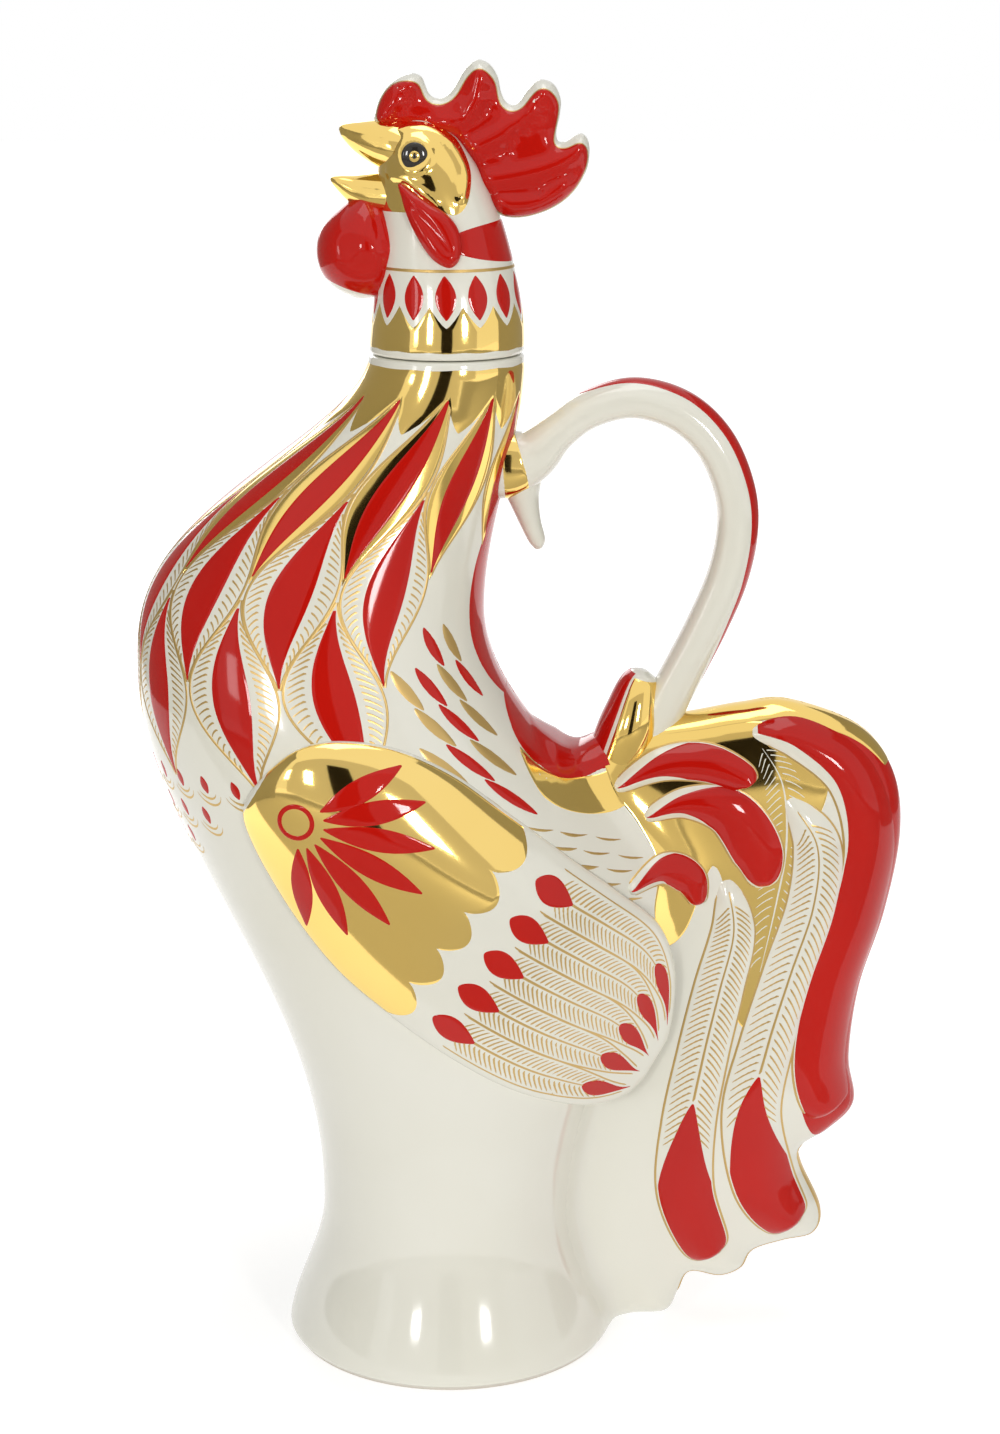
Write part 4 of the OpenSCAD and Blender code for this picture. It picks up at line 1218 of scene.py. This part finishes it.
def edge_chart(line, middle):
    """A chart of an edge seen from the side: which of its points, and millimetres round it to either side."""
    ahead = unit(np.gradient(line, axis=0))
    at = np.arange(len(line))

    def chart(t, c):
        x = np.interp(t, at, line[:, 0]) + np.interp(t, at, ahead[:, 1]) * np.abs(c)
        z = np.interp(t, at, line[:, 1]) - np.interp(t, at, ahead[:, 0]) * np.abs(c)
        return points(x, np.sign(c) * tail_skin(x, z) * clamp01(np.abs(c) / 0.05), z)

    return faced(chart, middle, 2.0, (0, 1, 0))


def on_edge(share):
    """The number of the outline point nearest to a place given in shares of the tail."""
    return int(np.argmin(np.linalg.norm(tail_edge - tail_at(share), axis=1)))


def edge_band(paint, chart, t, half, lift):
    """A band along an edge that wraps round it to both sides."""
    c = np.linspace(-1, 1, 25)
    paint.patch(chart, t[:, None], half[:, None] * np.sign(c) * c**2, lift)


def round_tail(paint, first, last, half, lift, power=0.35):
    """A band along the tail's edge that thins at its ends."""
    ends = on_edge(first), on_edge(last)
    count = int(abs(ends[1] - ends[0]) * 1.5) + 8
    thin = np.sin(PI * np.linspace(0.02, 0.98, count)) ** power
    edge_band(paint, tail_rim, np.linspace(*ends, count), half * thin, lift)


tail_rim = edge_chart(tail_edge, on_edge((0.65, 1.0)))
tail_gold, tail_lines, tail_red, tail_white = Paint(), Paint(), Paint(), Paint()
round_tail(tail_gold, (0.09, 0.95), (0.955, 0.91), 3.4, 0.14)
round_tail(tail_red, (0.68, 0.998), (0.775, 0.3), 8.5, 0.06)
round_tail(tail_lines, (0.745, 0.285), (0.345, 0.04), 0.7, 0.09, power=0.105)
heights = np.linspace(198, 148, 26)
nape = points(reach_at(BACK_SIDE, heights), heights)
saddle = tail_edge[on_edge((-0.11, 0.965)):on_edge((0.11, 0.953)):3]
back_line = even(spline(np.vstack([nape, saddle]), 6), 0.7, closed=False)
back_count = len(back_line)
back_edge = edge_chart(back_line, back_count / 2)
stripe_run = mix(0, back_count * 0.66, np.linspace(0, 1, 90))
edge_band(tail_red, back_edge, stripe_run, leaf_widths(90, 3.4, 0.1, 0.9), RED_LIFT)
share = np.linspace(0, 1, 60)
edge_band(tail_red, back_edge, mix(back_count * 0.6, back_count - 1, share), 6.2 * share**0.6 + 0.1, 0.12)
print("back line:", back_count, "points")

# %% Tail paint


def red_widths(name, share):
    """How far the red reaches to the inner and to the outer edge of a plume, along its red span."""
    swell = clamp01(share / 0.4) ** 0.75
    if name == "outer_sickle":
        return mix(0.0184 + 0.9 * swell, 0.995, ease(clamp01((share - 0.86) / 0.08))), 0.99
    tip = np.sqrt(1 - clamp01((share - 0.88) / 0.125) ** 2)
    wide = 0.92 * np.maximum(np.minimum(swell, tip), 0.02)
    return wide, wide


share, c = field((0, 1), (0, 1), 90, 21)
run = np.linspace(0, 1, 13)
for side in (LEFT, RIGHT):
    chart = side_chart(tail_skin, side, 60, 110)
    tail_gold.fill(chart, closed_line(tail_at(TAIL_GROUND), 8, 1.0), 0.06, 1.3)
    tail_gold.fill(chart, closed_line(SADDLE_GOLD, 8, 1.0), 0.05, 1.3)
    tail_red.fill(chart, closed_line(tail_at(SICKLE_END), 8, 0.8), 0.07)
    painted = plume_chart(PAINTED_PLUME, side, 0)
    herringbone(tail_white, painted, 0.06, 0.9, 26, 0.05, 1.0, 0.07, 0.55, 0.1)
    tail_white.ribbon(painted, along(0.03, 0.97, 60), leaf_widths(60, 0.7, 0.2), 0.11, cells=2)
    for row in range(5):
        odd = row % 2
        for j in range(3):
            start = np.array([17.0 + 7.6 * j + 3.8 * odd + 1.2 * row,
                              130.0 - 2.6 * j - 1.3 * odd - 3.2 * row])
            stroke = start + points(6.2 * run, -3.4 * run + 1.5 * run**2)
            tail_lines.ribbon(chart, stroke, leaf_widths(13, 0.5, 0.12), 0.07, cells=2)
    for name, (first, last) in RED_SPANS.items():
        plume = plume_chart(PLUMES[name], side)
        inner, outer = red_widths(name, share)
        tail_red.patch(plume, mix(first, last, share), mix(-inner, outer, c), RED_LIFT)
        if first > 0.1:
            herringbone(tail_lines, plume, 0.08, first + 0.06, 38, 0.06, 0.86, 0.04, 0.5, LINE_LIFT)
            tail_lines.ribbon(plume, along(0.04, first, 60), np.linspace(0.25, 0.5, 60), 0.1, cells=2)
        if name == "outer_sickle":
            edge_lines(tail_lines, plume, (0.05, 0.9, 90), 0.95, 0.36, 0.1, 2, hands=(-1,))
        else:
            edge_lines(tail_lines, plume, (0.05, 0.985, 90), 0.95, 0.36, 0.1, 2)
tail_gold.make("tail_gold_ground", gold)
tail_lines.make("tail_gold_barbs", brushed_gold)
tail_red.make("tail_red_plumes", red)
tail_white.make("tail_white_barbs", porcelain)

# %% [markdown]
# ## Handle and scroll paint
# A red stripe runs over the back of the handle and thins out at both ends. Gold hides the joint at the neck,
# and the scroll has gold cheeks and a red back. The faces of the handle could be coloured instead, but its
# grid is too coarse for a clean edge. The charts are made from the sweeps' own stations, so the paint fits.

# %% Handle paint
handle_chart = sweep_chart(handle_stations, flat=HANDLE_FLAT)
scroll_chart = sweep_chart(scroll_stations)
stripe, root_gold = Paint(), Paint()
stripe.ribbon(handle_chart, along(3.9, 12.2, 130, PI), leaf_widths(130, 5.4, 0.1, 0.5), RED_LIFT, cells=14)
turn = around(72)
share = np.linspace(0, 1, 14)[:, None]
root_gold.patch(handle_chart, mix(0.7, 1.5 - 0.12 * np.cos(turn), share), turn, RED_LIFT, wrap=True)
for side in (LEFT, RIGHT):
    t, a = field((0.1, 3.7), (0.45, PI - 1.0), 50, 25)
    root_gold.patch(scroll_chart, t, side * a, LINE_LIFT)
stripe.patch(scroll_chart, *field((0.1, 4.2), (PI - 0.92, PI + 0.92), 50, 25), RED_LIFT)
stripe.make("handle_red_stripe", red)
root_gold.make("handle_root_gold", gold)

# %% [markdown]
# ## Head paint
# The comb is red inside a white rim, with a fine gold line between. The rim is widest along the top, where
# the brush stopped short of the edge. A smaller copy of the outline could bound the red, but moving each
# point inwards gives the rim a width that can be set along it. The face is gilt, with a raised brow round the
# eye, and the collar repeats the gold band and the red leaves of the neck.

# %% Comb and wattle paint
comb_red, comb_line = Paint(), Paint()
ahead = unit(np.roll(comb_edge, -1, 0) - np.roll(comb_edge, 1, 0))
comb_rim = 0.4 + 1.1 * clamp01(ahead[:, 0] * 1.6) * ease(clamp01((comb_edge[:, 0] + 12.0) / 5.0))
comb_field = even(inset(comb_edge, comb_rim), 0.5)
for _ in range(8):
    comb_field = (np.roll(comb_field, 1, 0) + comb_field + np.roll(comb_field, -1, 0)) / 3
for side in (LEFT, RIGHT):
    comb_side = side_chart(comb_y, side, 10, 275)
    comb_red.fill(comb_side, comb_field, RED_LIFT, 0.8)
    comb_line.ribbon(comb_side, np.vstack([comb_field, comb_field[:2]]), 0.24, 0.12, cells=2)
turn = around(72)
share = np.linspace(0, 1, 60)[:, None]
hem = 4.4 - 0.8 * (0.5 + 0.5 * np.cos(turn)) ** 2
comb_red.patch(wattle_chart, mix(0.1, hem, share), turn, RED_LIFT, wrap=True)
comb_red.make("comb_and_wattle_red", red, "head")
comb_line.make("comb_gold_line", brushed_gold, "head")

# %% Face paint
FACE = [(-12.8, 275.3), (-9, 277.2), (-3.8, 277.1), (0.8, 275), (3.6, 271.8), (5.5, 266.4), (4.6, 260.3),
        (1.4, 258.2), (-4, 261.2), (-8.6, 264.6), (-12.6, 265)]
BROW = [(-11, 274.6), (-6.5, 275.6), (-2.6, 274.8), (1.4, 271.6), (3.9, 266.6), (3.4, 261.8)]
CHEEK = [(-12.4, 267), (-9.4, 265.6), (-5.6, 263.4), (-2.4, 260.9)]
HEAD_WRAP = 15.0
brow_line = spline(BROW, 8)
cheek_line = spline(CHEEK, 8)
head_wrap = wrap_chart(head_section, HEAD_WRAP, 240)


def face_lift(q, depth):
    """The gilt face in relief: brow, cheek fold and the lid round the eye."""
    brow = bell(to_line(q, brow_line, closed=False))
    cheek = bell(to_line(q, cheek_line, closed=False) / 0.9)
    from_eye = np.hypot(q[:, 0] - EYE_X, q[:, 1] - EYE_Z)
    lid = bell((from_eye - 3.3) / 0.7)
    mound = bell(from_eye / 4.6)
    return (0.1 + 0.9 * brow + 0.5 * cheek + 0.55 * lid + 0.55 * mound) * ease(clamp01(depth / 1.4))


face_gold = Paint()
for side in (LEFT, RIGHT):
    face_gold.fill(side_chart(head_y, side, -4, 268), closed_line(FACE, 10, 0.5), face_lift, 0.6)
a, z = field((-1.25, 1.25), (258.5, 276.2), 60, 30)
face_gold.patch(head_wrap, HEAD_WRAP * a, z, 0.06)
face_gold.make("face_gold", gold, "head")

# %% Head collar paint
HEAD_LEAVES = 14
head_gold, head_lines, head_red = Paint(), Paint(), Paint()
turn = around(336, -PI)
rows = np.linspace(0, 1, 9)[:, None]
hem = 235.4 + 4.6 * teeth(turn, HEAD_LEAVES) ** 1.3
head_gold.patch(head_wrap, HEAD_WRAP * turn, mix(229.5, hem, rows), 0.07, wrap=True)
head_lines.patch(head_wrap, HEAD_WRAP * turn, 246.9 + 0.35 * (2 * rows - 1), 0.07, wrap=True)
for j in range(HEAD_LEAVES):
    line = points(HEAD_WRAP * 2 * PI * (j + 0.5) / HEAD_LEAVES, np.linspace(236.6, 246.0, 30))
    head_red.ribbon(head_wrap, line, leaf_widths(30, 2.5, 0.1, 0.9), LINE_LIFT, cells=8)
a = np.linspace(1.75, 2 * PI - 1.75, 90)
share = np.linspace(0, 1, 12)[:, None]
taper = np.sin(np.linspace(0.02, 0.98, 90) * PI) ** 0.4
head_red.patch(head_wrap, HEAD_WRAP * a, 252.4 + 4.7 * taper * (2 * share - 1), RED_LIFT)
head_gold.make("head_collar_gold", gold, "head")
head_lines.make("head_ring_lines", brushed_gold, "head")
head_red.make("head_red_leaves", red, "head")

# %% [markdown]
# ## Studio
# The photograph has a white ground and a white table. Small lamps at about the camera's height put the bright
# marks on the glaze, and softboxes above and behind light the rest. Polished gold shows what stands round it,
# so a few cards that the camera doesn't see give it a room. A picture of a room could do that too, but cards
# can be moved one by one. The camera stands 62 centimetres in front, a little above the comb, and looks down
# by 14.5 degrees.

# %% Lamps and world
LAMPS = [("key_lamp", (-0.44, -0.93, 0.36), (0, 0, 0.12), (0.12, 0.20), 1.7),
         ("side_lamp", (-0.76, -0.72, 0.36), (0, 0, 0.12), (0.11, 0.20), 0.4),
         ("fill_lamp", (0.46, -0.92, 0.36), (0, 0, 0.10), (0.12, 0.20), 2.6),
         ("top_softbox", (0.05, -0.05, 1.05), (0, 0, 0.1), (0.6, 0.5), 2.1),
         ("back_softbox", (-0.30, 0.90, 0.50), (0, 0, 0.12), (0.5, 0.5), 2.2)]
for name, place, target, size, power in LAMPS:
    light = bpy.data.lights.new(name, "AREA")
    light.shape = "RECTANGLE"
    light.size, light.size_y = size
    light.energy = power
    lamp = bpy.data.objects.new(name, light)
    lamp.location = place
    lamp.rotation_euler = (Vector(target) - Vector(place)).to_track_quat("-Z", "Y").to_euler()
    bpy.context.scene.collection.objects.link(lamp)
print("lamps:", [name for name, *_ in LAMPS])


def seen_rays(tree):
    """A mask of the rays that show the background: those of the camera, of reflections and through glass."""
    path = add_node(tree, "ShaderNodeLightPath")
    seen = add_node(tree, "ShaderNodeMath", operation="MAXIMUM")
    mask = add_node(tree, "ShaderNodeMath", operation="MAXIMUM")
    wire(tree, (path, "Is Camera Ray", seen, 0), (path, "Is Glossy Ray", seen, 1), (seen, "Value", mask, 0),
         (path, "Is Transmission Ray", mask, 1))
    return mask


WORLD_GLOW = 0.28
world = bpy.data.worlds.new("studio")
bpy.context.scene.world = world
world.use_nodes = True
backdrop = world.node_tree.nodes["Background"]
set_sockets(backdrop, {"Color": (1, 1, 1, 1)})
level = add_node(world.node_tree, "ShaderNodeMapRange", {"To Min": WORLD_GLOW, "To Max": 1.0})
wire(world.node_tree, (seen_rays(world.node_tree), "Value", level, "Value"),
     (level, "Result", backdrop, "Strength"))

# %% Table and cards


def panel(name, corners, colour, glow):
    """A flat board of the studio: the table, or a screen out of the picture."""
    mesh = bpy.data.meshes.new(name)
    mesh.from_pydata(corners, [], [(0, 1, 2, 3)])
    obj = bpy.data.objects.new(name, mesh)
    bpy.context.scene.collection.objects.link(obj)
    material = bpy.data.materials.new(name)
    material.use_nodes = True
    mesh.materials.append(material)
    set_sockets(material.node_tree.nodes["Principled BSDF"], {
        "Base Color": (*colour, 1), "Roughness": 0.7, "Specular IOR Level": 0.0,
        "Emission Color": (1, 1, 1, 1), "Emission Strength": glow})
    print("board:", name)
    return obj


def level_board(x, y, z):
    """Corners of a board that lies flat between two ends in x and two in y."""
    return [(x[0], y[0], z), (x[1], y[0], z), (x[1], y[1], z), (x[0], y[1], z)]


def upright(x, y, z):
    """Corners of a board that stands between two (x, y) ends and two heights."""
    (x0, x1), (y0, y1), (z0, z1) = x, y, z
    return [(x0, y0, z0), (x1, y1, z0), (x1, y1, z1), (x0, y0, z1)]


def card(name, corners, colour, glow):
    """A board that shows in reflections but not to the camera, and that throws no shadow."""
    obj = panel(name, corners, colour, glow)
    obj.visible_camera = False
    obj.visible_shadow = False


TABLE_GLOW = 0.42
table = panel("table", level_board((-4, 4), (-4, 5), 0), (0.6, 0.6, 0.6), TABLE_GLOW)
tree = table.data.materials[0].node_tree
where = add_node(tree, "ShaderNodeTexCoord")
away = add_node(tree, "ShaderNodeVectorMath", operation="LENGTH")
white = add_node(tree, "ShaderNodeMapRange", {"From Min": 0.05, "From Max": 0.32,
                                              "To Min": 0.2, "To Max": 0.6})
shown = add_node(tree, "ShaderNodeMath", {2: TABLE_GLOW}, operation="MULTIPLY_ADD")
wire(tree, (where, "Object", away, 0), (away, "Value", white, "Value"), (white, "Result", shown, 0),
     (seen_rays(tree), "Value", shown, 1),
     (shown, "Value", tree.nodes["Principled BSDF"], "Emission Strength"))
card("table_card", level_board((-1.2, 1.2), (-1.6, -0.125), 0.002), (0.62, 0.60, 0.55), 0.12)
card("room", upright((-1.8, 1.8), (-1.8, -1.8), (0, 1.6)), (0.4, 0.36, 0.3), 0.48)
card("room_shade", upright((-0.16, 0.16), (-1.1, -1.1), (0, 0.75)), (0.03, 0.025, 0.02), 0)
card("screen_left", upright((-0.75, -0.5), (-0.5, 0.9), (0, 0.9)), (0.36, 0.35, 0.32), 0.06)
card("screen_right", upright((0.7, 0.5), (-0.1, 0.9), (0, 0.9)), (0.36, 0.35, 0.32), 0.06)

# %% Camera
CAMERA_TILT = 0.2536
camera_data = bpy.data.cameras.new("camera")
camera_data.lens = 71.5
camera = bpy.data.objects.new("camera", camera_data)
camera.location = (0.0115, -0.6165, 0.30635)
camera.rotation_euler = (PI / 2 - CAMERA_TILT, 0, 0)
bpy.context.scene.collection.objects.link(camera)
bpy.context.scene.camera = camera
bpy.context.scene.view_settings.view_transform = "Standard"
print("camera at", tuple(round(v, 4) for v in camera.location))
